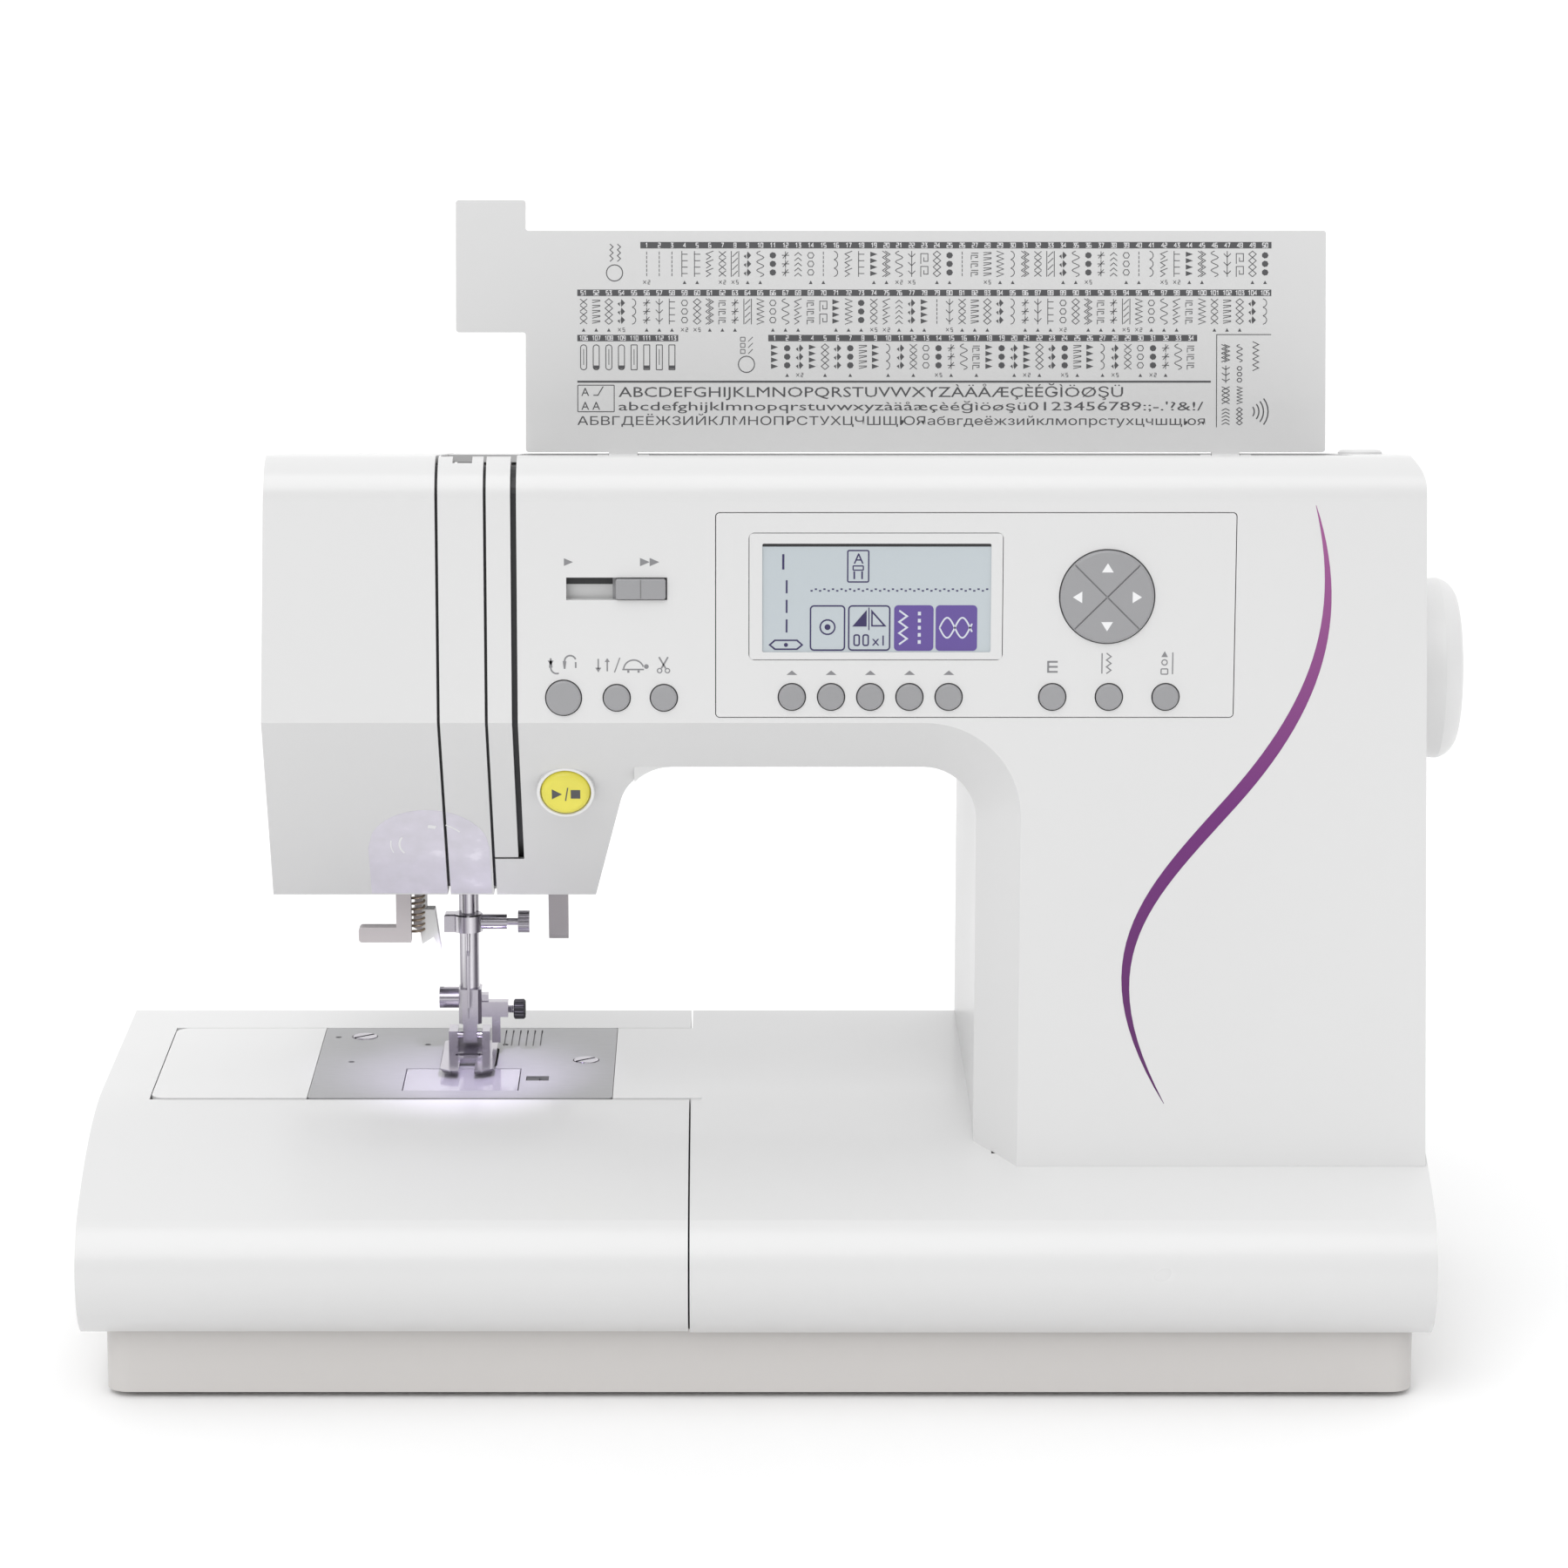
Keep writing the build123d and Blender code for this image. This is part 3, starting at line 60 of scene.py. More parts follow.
# The view, in metres and degrees
CAMERA_PLACE = (-0.01865, -1.826, 0.5825)
CAMERA_TILT = 78
CAMERA_LENS = 123.3
CAMERA_SHIFT = 0.0361

# The studio: the sky's strength low in front, low behind and overhead, the sun, and the floor's half width
SKY_LOW = 0.22
SKY_BACK = 1.15
SKY_HIGH = 1.2
SUN_DIRECTION = (0.35, 1.0, -1.05)
SUN_POWER = 1.15
SUN_SPREAD = 50
FLOOR_REACH = 14.0

# The head's outline in millimetres: the upright front, and the slope below it
FRONT = -71.0
SLOPE_TOP = 230.2
SLOPE_FOOT = 158.6
SLOPE_UP = (0, -0.6263, 0.7796)
ACROSS = (1, 0, 0)
UP = (0, 0, 1)


# ---------------------------------------------------------------- camera and lights
def look_from_the_front():
    """The view: in front of the machine, a little above it, with a long lens."""
    camera = bpy.data.cameras.new("camera")
    camera.sensor_width = 36
    camera.lens = CAMERA_LENS
    camera.shift_x = CAMERA_SHIFT
    camera.clip_end = 20
    holder = bpy.data.objects.new("camera", camera)
    holder.location = CAMERA_PLACE
    holder.rotation_euler = (math.radians(CAMERA_TILT), 0, 0)
    bpy.context.scene.collection.objects.link(holder)
    bpy.context.scene.camera = holder


def sky():
    """Light from all round: dimmest low in front of the machine, brighter behind it and overhead."""
    world = bpy.data.worlds.new("studio")
    world.use_nodes = True
    tree = world.node_tree
    coordinates = tree.nodes.new("ShaderNodeTexCoord")
    split = tree.nodes.new("ShaderNodeSeparateXYZ")
    tree.links.new(coordinates.outputs["Generated"], split.inputs["Vector"])
    low = remap(tree, split.outputs["Y"], SKY_LOW, SKY_BACK)
    height = tree.nodes.new("ShaderNodeMapRange")
    tree.links.new(split.outputs["Z"], height.inputs["Value"])
    tree.links.new(low, height.inputs["To Min"])
    height.inputs["To Max"].default_value = SKY_HIGH
    tree.nodes["Background"].inputs["Color"].default_value = (1, 1, 1, 1)
    tree.links.new(height.outputs["Result"], tree.nodes["Background"].inputs["Strength"])
    bpy.context.scene.world = world


def sun():
    """Parallel soft light, so that the sweep is lit evenly as far as it goes."""
    light = bpy.data.lights.new("key", "SUN")
    light.energy = SUN_POWER
    light.angle = math.radians(SUN_SPREAD)
    holder = bpy.data.objects.new("key", light)
    holder.rotation_euler = Vector(SUN_DIRECTION).to_track_quat("-Z", "Y").to_euler()
    bpy.context.scene.collection.objects.link(holder)


def studio():
    """A white floor with soft light from above, behind and in front."""
    sky()
    sun()
    mesh = bpy.data.meshes.new("floor")
    corners = [(x * FLOOR_REACH, y * FLOOR_REACH, 0) for x, y in ((-1, -1), (1, -1), (1, 1), (-1, 1))]
    mesh.from_pydata(corners, [], [(0, 1, 2, 3)])
    floor = bpy.data.objects.new("floor", mesh)
    bpy.context.scene.collection.objects.link(floor)
    floor.data.materials.append(floor_white())


# ---------------------------------------------------------------- materials
def new_material(name):
    """A new node material, with its node tree and its Principled shader."""
    made = bpy.data.materials.new(name)
    made.use_nodes = True
    tree = made.node_tree
    shader = tree.nodes["Principled BSDF"]
    return made, tree, shader


def texture_space(tree, scale):
    """Object coordinates scaled for a texture, so that grain has a real size."""
    coordinates = tree.nodes.new("ShaderNodeTexCoord")
    mapping = tree.nodes.new("ShaderNodeMapping")
    mapping.inputs["Scale"].default_value = scale if isinstance(scale, tuple) else (scale,) * 3
    tree.links.new(coordinates.outputs["Object"], mapping.inputs["Vector"])
    return mapping.outputs["Vector"]


def noise(tree, scale, detail=2.0, stretch=(1, 1, 1)):
    """A noise texture of a given number of cells in a metre."""
    texture = tree.nodes.new("ShaderNodeTexNoise")
    texture.inputs["Scale"].default_value = scale
    texture.inputs["Detail"].default_value = detail
    tree.links.new(texture_space(tree, stretch), texture.inputs["Vector"])
    return texture.outputs["Fac"]


def ramp(tree, source, stops):
    """A colour ramp over a 0 to 1 value."""
    node = tree.nodes.new("ShaderNodeValToRGB")
    elements = node.color_ramp.elements
    for place, colour in stops[2:]:
        elements.new(place)
    for element, (place, colour) in zip(elements, stops):
        element.position = place
        element.color = (*colour, 1)
    tree.links.new(source, node.inputs["Fac"])
    return node.outputs["Color"]


def remap(tree, source, low, high):
    """Maps a 0 to 1 value to a range."""
    node = tree.nodes.new("ShaderNodeMapRange")
    node.inputs["To Min"].default_value = low
    node.inputs["To Max"].default_value = high
    tree.links.new(source, node.inputs["Value"])
    return node.outputs["Result"]


def bump(tree, shader, height, strength, distance):
    """Small relief from a height value; distance is in metres."""
    node = tree.nodes.new("ShaderNodeBump")
    node.inputs["Strength"].default_value = strength
    node.inputs["Distance"].default_value = distance
    tree.links.new(height, node.inputs["Height"])
    tree.links.new(node.outputs["Normal"], shader.inputs["Normal"])


def moulded(name, colour, roughness, grain=900, relief=0.25, coat=0.0, tint=0.03):
    """Moulded plastic: faint colour drift, uneven gloss and a fine spark-eroded grain."""
    made, tree, shader = new_material(name)
    shade = [max(0, c - tint) for c in colour]
    drift = noise(tree, 9, 0)
    tree.links.new(ramp(tree, drift, [(0.2, shade), (0.8, colour)]), shader.inputs["Base Color"])
    gloss = remap(tree, noise(tree, 25, 1), roughness - 0.02, roughness + 0.04)
    tree.links.new(gloss, shader.inputs["Roughness"])
    bump(tree, shader, noise(tree, grain, 2), relief, 0.00003)
    if coat:
        shader.inputs["Coat Weight"].default_value = coat
        shader.inputs["Coat Roughness"].default_value = 0.12
    return made


def metal(name, colour, roughness, brush=(1, 1, 1), grain=700, relief=0.2):
    """Metal with a brushed or polished surface and slightly uneven gloss."""
    made, tree, shader = new_material(name)
    shade = [0.82 * c for c in colour]
    streaks = noise(tree, grain, 3, brush)
    tree.links.new(ramp(tree, streaks, [(0.25, shade), (0.75, colour)]), shader.inputs["Base Color"])
    tree.links.new(remap(tree, streaks, roughness - 0.06, roughness + 0.08), shader.inputs["Roughness"])
    shader.inputs["Metallic"].default_value = 1.0
    bump(tree, shader, streaks, relief, 0.00002)
    return made


def plated(name, dark, light, roughness):
    """Bright plating, with painted bands that stand for a studio's reflections round its sides."""
    made, tree, shader = new_material(name)
    coordinates = tree.nodes.new("ShaderNodeTexCoord")
    split = tree.nodes.new("ShaderNodeSeparateXYZ")
    tree.links.new(coordinates.outputs["Normal"], split.inputs["Vector"])
    turn = tree.nodes.new("ShaderNodeMapRange")
    turn.inputs["From Min"].default_value = -1.0
    tree.links.new(split.outputs["X"], turn.inputs["Value"])
    bands = [(0.0, dark), (0.22, light), (0.40, dark), (0.62, light), (0.85, dark), (1.0, light)]
    tree.links.new(ramp(tree, turn.outputs["Result"], bands), shader.inputs["Base Color"])
    gloss = remap(tree, noise(tree, 300, 2), roughness - 0.04, roughness + 0.06)
    tree.links.new(gloss, shader.inputs["Roughness"])
    shader.inputs["Metallic"].default_value = 0.9
    return made


def clear(name, colour, roughness, clarity):
    """Clear or tinted plastic with faint scuffs; clarity is the share of light that passes."""
    made, tree, shader = new_material(name)
    shader.inputs["Base Color"].default_value = (*colour, 1)
    shader.inputs["Transmission Weight"].default_value = clarity
    shader.inputs["IOR"].default_value = 1.49
    scuffs = remap(tree, noise(tree, 180, 4), roughness, roughness + 0.08)
    tree.links.new(scuffs, shader.inputs["Roughness"])
    return made


def glowing(name, colour, glow, strength, roughness=0.35):
    """Plastic that light shines through from behind, with a faint drift of colour."""
    made, tree, shader = new_material(name)
    drift = noise(tree, 90, 2)
    shade = [0.85 * c for c in colour]
    tree.links.new(ramp(tree, drift, [(0.3, shade), (0.7, colour)]), shader.inputs["Base Color"])
    shader.inputs["Emission Color"].default_value = (*glow, 1)
    shader.inputs["Emission Strength"].default_value = strength
    shader.inputs["Roughness"].default_value = roughness
    return made


def threader_look():
    """Warm grey for the lever's handle and white for the hook at its right end."""
    made = moulded("threader_plastic", (0.62, 0.58, 0.59), 0.4)
    tree = made.node_tree
    shader = tree.nodes["Principled BSDF"]
    handle = shader.inputs["Base Color"].links[0].from_socket
    split = tree.nodes.new("ShaderNodeSeparateXYZ")
    coordinates = tree.nodes.new("ShaderNodeTexCoord")
    tree.links.new(coordinates.outputs["Object"], split.inputs["Vector"])
    edge = tree.nodes.new("ShaderNodeMapRange")
    edge.inputs["From Min"].default_value = HOOK_EDGE
    edge.inputs["From Max"].default_value = HOOK_EDGE + 0.0003
    tree.links.new(split.outputs["X"], edge.inputs["Value"])
    mix = tree.nodes.new("ShaderNodeMix")
    mix.data_type = "RGBA"
    mix.inputs[7].default_value = (0.80, 0.80, 0.79, 1)
    tree.links.new(edge.outputs["Result"], mix.inputs[0])
    tree.links.new(handle, mix.inputs[6])
    tree.links.new(mix.outputs[2], shader.inputs["Base Color"])
    return made


def floor_white():
    """The white sweep: bright, with the faintest mottling."""
    made, tree, shader = new_material("sweep")
    shades = [(0.3, (0.94, 0.94, 0.94)), (0.7, (0.96, 0.96, 0.96))]
    tree.links.new(ramp(tree, noise(tree, 3, 2), shades), shader.inputs["Base Color"])
    shader.inputs["Roughness"].default_value = 0.6
    return made


bpy.context.scene.view_settings.view_transform = "Standard"
look_from_the_front()
studio()

WHITE = moulded("white_plastic", (0.70, 0.70, 0.70), 0.28, coat=0.15, tint=0.012)
# The plinth's darker, warmer grey is painted shade for the dimmer light low down under the bed.
PLINTH_PAINTED_SHADE = moulded("plinth_painted_shade", (0.62, 0.60, 0.585), 0.4, tint=0.012)
WHEEL = moulded("handwheel_plastic", (0.80, 0.80, 0.80), 0.35, tint=0.012)
DECK = moulded("deck_plastic", (0.62, 0.62, 0.62), 0.45, relief=0.4)
GREY = moulded("key_grey", (0.33, 0.33, 0.34), 0.42, relief=0.3)
LEVER = moulded("lever_grey", (0.60, 0.57, 0.58), 0.4)
HANDLE = moulded("handle_plastic", (0.66, 0.66, 0.67), 0.5, relief=0.5)
BLACK = moulded("black_plastic", (0.03, 0.03, 0.032), 0.4, tint=0.01)
RUBBER = moulded("rubber", (0.05, 0.05, 0.05), 0.75, grain=1500, relief=0.6, tint=0.015)
SCREEN = moulded("screen", (0.50, 0.55, 0.58), 0.2, relief=0.02, coat=0.6)
BOARD = moulded("circuit_board", (0.03, 0.20, 0.09), 0.45)
PLATE = metal("plate_steel", (0.42, 0.42, 0.43), 0.42, brush=(0.12, 2.5, 1), grain=1400)
PLATE.node_tree.nodes["Principled BSDF"].inputs["Metallic"].default_value = 0.35
CHROME = plated("bright_plating", (0.16, 0.14, 0.18), (0.78, 0.76, 0.80), 0.16)
CAST = metal("cast_metal", (0.55, 0.56, 0.57), 0.5, grain=400, relief=0.6)
MOTOR = metal("motor_can", (0.30, 0.31, 0.33), 0.4)
SPRING = metal("spring_steel", (0.42, 0.34, 0.26), 0.35)
CLEAR = clear("clear_plastic", (0.86, 0.84, 0.90), 0.08, 0.72)
BOBBIN = clear("bobbin_plastic", (0.92, 0.94, 0.97), 0.08, 0.85)
YELLOW = glowing("lit_yellow", (0.66, 0.60, 0.09), (0.80, 0.72, 0.05), 0.22)

CAD_LOOKS = {
    "white_cover": WHITE,
    "deck_white": DECK,
    "grey_key": GREY,
    "lit_yellow": YELLOW,
    "display": SCREEN,
    "plate_steel": PLATE,
    "bright_metal": CHROME,
    "clear_cover": CLEAR,
    "clear_bobbin": BOBBIN,
    "black_plastic": BLACK,
    "rubber": RUBBER,
    "cast_metal": CAST,
    "motor_metal": MOTOR,
    "spring_steel": SPRING,
    "circuit_board": BOARD,
}
OWN_LOOKS = {
    "presser_lifter": LEVER,
    "threader_lever": threader_look(),
    "carry_handle": HANDLE,
    "handwheel": WHEEL,
    "base_plinth": PLINTH_PAINTED_SHADE,
}

for part in frame["record"]["subparts"]:
    look = OWN_LOOKS.get(part["node"], CAD_LOOKS[part["material_slot"]])
    for material_slot in nodes[part["node"]].material_slots:
        material_slot.material = look


# ---------------------------------------------------------------- drawing flat marks
class Sheet:
    """Thin raised marks drawn in millimetres on a plane, gathered into one mesh."""

    def __init__(self, origin, along, up, height=INK):
        self.origin = Vector(origin) * MM
        self.along = Vector(along).normalized()
        self.up = Vector(up).normalized()
        self.normal = self.along.cross(self.up)
        self.height = height * MM
        self.mesh = bmesh.new()

    def point(self, u, v, lift):
        """A place on the plane, u along and v up, raised by lift metres."""
        return self.origin + self.along * (u * MM) + self.up * (v * MM) + self.normal * lift

    def prism(self, outline):
        """A filled outline with a small thickness."""
        turn = sum(a[0] * b[1] - b[0] * a[1] for a, b in zip(outline, outline[1:] + outline[:1]))
        if turn < 0:
            outline = outline[::-1]
        low = [self.mesh.verts.new(self.point(u, v, 0)) for u, v in outline]
        high = [self.mesh.verts.new(self.point(u, v, self.height)) for u, v in outline]
        self.mesh.faces.new(high)
        self.mesh.faces.new(low[::-1])
        for i in range(len(outline)):
            j = (i + 1) % len(outline)
            self.mesh.faces.new((low[i], low[j], high[j], high[i]))

    def band(self, inner, outer):
        """A raised band between two lines of points, closed into a ring."""
        rows = []
        for line, lift in ((outer, 0), (outer, self.height), (inner, self.height), (inner, 0)):
            rows.append([self.mesh.verts.new(self.point(u, v, lift)) for u, v in line])
        count = len(inner)
        for i in range(count):
            j = (i + 1) % count
            for k in range(4):
                near, far = rows[k], rows[(k + 1) % 4]
                self.mesh.faces.new((near[i], near[j], far[j], far[i]))

    def disc(self, u, v, radius, sides=20):
        self.prism(circle(u, v, radius, sides))

    def ring(self, u, v, radius, width, sides=24):
        self.band(circle(u, v, radius - width, sides), circle(u, v, radius, sides))

    def box(self, u0, u1, v0, v1):
        self.prism([(u0, v0), (u1, v0), (u1, v1), (u0, v1)])

    def frame(self, u0, u1, v0, v1, radius, width):
        """A rounded rectangle's outline."""
        outer = rounded(u0, u1, v0, v1, radius)
        inner = rounded(u0 + width, u1 - width, v0 + width, v1 - width, max(radius - width, 0.05))
        self.band(inner, outer)

    def line(self, points, width):
        """A line of even width with mitred corners."""
        half = width / 2
        left, right = [], []
        for i, here in enumerate(points):
            before = Vector(here) - Vector(points[i - 1]) if i else Vector(points[1]) - Vector(here)
            after = Vector(points[i + 1]) - Vector(here) if i + 1 < len(points) else before
            before.normalize()
            after.normalize()
            side = Vector((-before.y - after.y, before.x + after.x))
            side = side.normalized() if side.length > 0.2 else Vector((-after.y, after.x))
            reach = half / max(side.dot(Vector((-after.y, after.x))), 0.45)
            left.append((here[0] + side.x * reach, here[1] + side.y * reach))
            right.append((here[0] - side.x * reach, here[1] - side.y * reach))
        self.prism(left + right[::-1])

    def text(self, words, u, v, height, width=None):
        """Lettering from its left edge and foot; width stretches it to a length."""
        curve = bpy.data.curves.new("lettering", "FONT")
        curve.body = words
        curve.resolution_u = 2
        holder = bpy.data.objects.new("lettering", curve)
        bpy.context.scene.collection.objects.link(holder)
        bpy.context.view_layer.update()
        flat = bpy.data.meshes.new_from_object(holder)
        bpy.data.objects.remove(holder)
        bpy.data.curves.remove(curve)
        tall = height / CAP_HEIGHT
        left = min(place.co.x for place in flat.vertices)
        span = max(place.co.x for place in flat.vertices) - left
        wide = width / span if width else tall
        shapes = bmesh.new()
        shapes.from_mesh(flat)
        bpy.data.meshes.remove(flat)
        bmesh.ops.remove_doubles(shapes, verts=shapes.verts, dist=0.00001)
        top = {}
        low = {}
        for place in shapes.verts:
            spot = (u + (place.co.x - left) * wide, v + place.co.y * tall)
            top[place] = self.mesh.verts.new(self.point(*spot, self.height))
            low[place] = self.mesh.verts.new(self.point(*spot, 0))
        for face in shapes.faces:
            if self.mesh.faces.get([top[place] for place in face.verts]):
                continue
            ring = list(face.verts) if face.normal.z > 0 else list(face.verts)[::-1]
            self.mesh.faces.new([top[place] for place in ring])
            self.mesh.faces.new([low[place] for place in reversed(ring)])
        for edge in shapes.edges:
            if len(edge.link_faces) == 1:
                first, second = edge.verts
                self.mesh.faces.new((low[first], low[second], top[second], top[first]))
        shapes.free()
        return span * wide

    def finish(self, name, body, material, slot):
        """Turns the marks into one piece that rides on a body."""
        bmesh.ops.recalc_face_normals(self.mesh, faces=self.mesh.faces)
        mesh = bpy.data.meshes.new(name)
        self.mesh.to_mesh(mesh)
        self.mesh.free()
        return add_piece(name, mesh, body, material)


def add_piece(name, mesh, body, material, smooth=False):
    """Adds a mesh as a piece that rides on a body and takes the given finish."""
    mesh.materials.append(material)
    if smooth:
        mesh.shade_smooth()
    piece = bpy.data.objects.new(name, mesh)
    bpy.context.scene.collection.objects.link(piece)
    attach(piece, body)
    return piece


def circle(u, v, radius, sides=24):
    """Points round a circle."""
    turns = [2 * math.pi * i / sides for i in range(sides)]
    return [(u + radius * math.cos(a), v + radius * math.sin(a)) for a in turns]


def arc(u, v, radius, start, end, steps=12):
    """Points along an arc, angles in degrees."""
    turns = [math.radians(start + (end - start) * i / steps) for i in range(steps + 1)]
    return [(u + radius * math.cos(a), v + radius * math.sin(a)) for a in turns]


def rounded(u0, u1, v0, v1, radius, steps=5):
    """Points round a rectangle with rounded corners."""
    corners = [(u1 - radius, v1 - radius, 0), (u0 + radius, v1 - radius, 90)]
    corners += [(u0 + radius, v0 + radius, 180), (u1 - radius, v0 + radius, 270)]
    points = []
    for u, v, start in corners:
        points += arc(u, v, radius, start, start + 90, steps)
    return points


CAP_HEIGHT = 0.69  # of a letter in the font's own units


# ---------------------------------------------------------------- marks on the front
SCREEN_FACE = -70.4  # Y of the display's glass, in millimetres
SOFT_KEY_LOW = 254.6
SOFT_KEY_HIGH = 270.0

PRINT_GREY = moulded("print_grey", (0.24, 0.24, 0.25), 0.55, relief=0.05, tint=0.01)
PRINT_DARK = moulded("print_dark", (0.085, 0.085, 0.09), 0.55, relief=0.05, tint=0.01)
# White for print, and also for painted highlights: the start button's rim and the lamp window's glints.
PRINT_AND_HIGHLIGHT_WHITE = moulded("print_and_highlight_white", (0.82, 0.82, 0.83), 0.5, relief=0.05, tint=0.01)
LCD_INK = moulded("screen_ink", (0.035, 0.025, 0.10), 0.3, relief=0.02, tint=0.005)
LCD_VIOLET = moulded("screen_violet", (0.12, 0.075, 0.30), 0.3, relief=0.02, tint=0.01)
LCD_PALE = moulded("screen_pale", (0.62, 0.65, 0.72), 0.3, relief=0.02, tint=0.01)
GROOVE = moulded("groove_shade", (0.20, 0.20, 0.20), 0.6, tint=0.01)


def on_front(height=INK, depth=FRONT):
    """A sheet on the upright front; its marks are placed by X and Z."""
    return Sheet((0, depth, 0), ACROSS, UP, height)


def triangle(sheet, u, v, wide, tall, turn):
    """A small filled triangle about its middle, turned by degrees."""
    shape = [(-wide / 2, -tall / 2), (wide / 2, -tall / 2), (0, tall / 2)]
    c, s = math.cos(math.radians(turn)), math.sin(math.radians(turn))
    sheet.prism([(u + x * c - y * s, v + x * s + y * c) for x, y in shape])


def panel_icons():
    """Printed signs over the keys and the speed slider."""
    ink = on_front()
    first_key, key_pitch = 2.8, 13.05
    for i in range(5):
        triangle(ink, first_key + key_pitch * i, 247.3, 3.6, 1.5, 0)
    triangle(ink, -71.3, 284.6, 2.6, 3.0, -90)
    for x in (-46.0, -42.8):
        triangle(ink, x, 284.6, 2.8, 3.2, -90)

    # reverse: a thread that turns back, with an arrow down
    ink.line([(-77.4, 252.2), (-77.4, 249.0)] + arc(-75.4, 249.0, 2.0, 180, 290, 8), 0.55)
    triangle(ink, -77.4, 250.6, 2.0, 1.6, 180)
    ink.line([(-72.8, 248.6), (-72.8, 251.2)] + arc(-70.9, 251.2, 1.9, 180, 20, 8), 0.55)
    ink.line([(-69.1, 250.9), (-69.1, 248.9)], 0.55)

    # needle up or down, and half speed
    ink.line([(-61.6, 252.0), (-61.6, 248.6)], 0.5)
    triangle(ink, -61.6, 248.2, 2.0, 1.6, 180)
    ink.line([(-58.6, 251.0), (-58.6, 247.8)], 0.5)
    triangle(ink, -58.6, 251.6, 1.7, 1.3, 0)
    ink.line([(-56.2, 247.4), (-54.4, 252.4)], 0.4)
    ink.line(arc(-49.8, 248.2, 3.4, 172, 20, 12), 0.5)
    ink.line([(-53.6, 248.4), (-46.4, 248.4)], 0.5)
    ink.disc(-45.6, 249.4, 0.8, 12)
    for x in (-51.6, -48.2):
        ink.box(x - 0.35, x + 0.35, 247.3, 248.1)

    # thread cutter: open scissors
    ink.line([(-38.4, 252.6), (-40.6, 248.8)], 0.55)
    ink.line([(-41.4, 252.6), (-39.2, 248.8)], 0.55)
    ink.ring(-41.2, 248.0, 0.95, 0.4, 12)
    ink.ring(-38.6, 248.0, 0.95, 0.4, 12)

    # pattern menus: a list, a stitch and a set of small motifs
    for z in (247.6, 249.3, 251.0):
        ink.line([(88.2, z), (91.2, z)], 0.65)
    ink.line([(88.0, 247.3), (88.0, 251.3)], 0.65)
    zigzag = [(107.4 + 1.5 * (i % 2), 247.0 + 1.15 * i) for i in range(7)]
    ink.line(zigzag, 0.42)
    ink.line([(105.9, 247.0), (105.9, 253.9)], 0.42)
    ink.frame(125.4, 128.0, 246.6, 248.8, 0.5, 0.4)
    ink.ring(126.7, 250.8, 1.1, 0.4, 12)
    triangle(ink, 126.7, 253.6, 2.2, 2.0, 0)
    ink.line([(129.4, 246.8), (129.4, 254.2)], 0.42)
    ink.finish("panel_icons", "machine", PRINT_GREY, "grey_key")


def screen():
    """The display: a white bezel, a black strip of painted shadow under its top edge, and what it shows.
    """
    bezel = on_front(0.75, SCREEN_FACE)
    bezel.band(rounded(-7.1, 68.8, 254.2, 290.8, 0.6), rounded(-11.35, 72.55, 251.8, 294.2, 1.2))
    bezel.finish("screen_bezel", "machine", WHITE, "white_cover")

    # A black strip of painted shadow under the bezel's top edge.
    edge = on_front(0.06, SCREEN_FACE)
    edge.box(-7.0, 68.7, 289.7, 290.7)
    edge.finish("screen_top_shade", "machine", BLACK, "black_plastic")

    ink = on_front(0.05, SCREEN_FACE)
    ink.text("1", -0.5, 282.0, 5.2)
    for z in (274.0, 267.4, 260.8):
        ink.line([(1.0, z), (1.0, z + 4.4)], 0.6)
    outline = [(-5.0, 256.6), (-3.0, 258.4), (4.6, 258.4), (6.6, 256.6), (4.6, 254.9), (-3.0, 254.9)]
    inner = [(-4.2, 256.6), (-2.7, 257.9), (4.3, 257.9), (5.8, 256.6), (4.3, 255.4), (-2.7, 255.4)]
    ink.band(inner, outline)
    ink.disc(0.8, 256.6, 0.7, 10)
    ink.frame(21.0, 28.4, 277.6, 288.6, 0.7, 0.45)
    ink.text("A", 23.2, 284.0, 3.4)
    ink.frame(22.8, 26.6, 281.6, 283.4, 0.4, 0.4)
    for x in (23.4, 26.0):
        ink.line([(x, 281.4), (x, 278.8)], 0.55)
    for i in range(42):
        x = 8.9 + 1.42 * i
        z = 274.6 + 0.55 * (i % 2)
        ink.box(x, x + 0.75, z, z + 0.5)
    ink.frame(8.7, 20.5, SOFT_KEY_LOW, SOFT_KEY_HIGH, 1.4, 0.5)
    ink.ring(14.6, 262.6, 2.7, 0.5, 18)
    ink.disc(14.6, 262.6, 1.0, 12)
    ink.frame(21.4, 35.5, SOFT_KEY_LOW, SOFT_KEY_HIGH, 1.4, 0.5)
    ink.prism([(22.8, 262.8), (27.6, 262.8), (27.6, 268.4)])
    ink.band([(29.6, 263.3), (33.0, 263.3), (29.6, 267.2)], [(29.1, 262.8), (34.2, 262.8), (29.1, 268.6)])
    ink.line([(28.35, 261.6), (28.35, 269.2)], 0.35)
    for x in (23.2, 26.2):
        ink.frame(x, x + 2.2, 256.2, 260.2, 0.8, 0.5)
    ink.text("x1", 29.4, 256.4, 3.4)
    ink.finish("screen_signs", "machine", LCD_INK, "display")

    keys = on_front(0.05, SCREEN_FACE)
    for left, right in ((36.7, 49.8), (50.5, 64.3)):
        keys.prism(rounded(left, right, SOFT_KEY_LOW, SOFT_KEY_HIGH, 1.4))
    keys.finish("screen_keys", "machine", LCD_VIOLET, "display")

    pale = on_front(0.10, SCREEN_FACE)
    pale.line([(38.4 + 2.6 * (i % 2), 256.8 + 1.9 * i) for i in range(7)], 0.6)
    for z in (257.0, 259.4, 261.8, 264.2, 266.6):
        pale.box(44.6, 45.6, z, z + 1.2)
    for side in (1, -1):
        wave = [(51.8 + 0.45 * i, 262.4 + side * 3.4 * math.sin(0.45 * i * 0.62)) for i in range(25)]
        pale.line(wave, 0.55)
    pale.finish("screen_key_signs", "machine", LCD_PALE, "display")


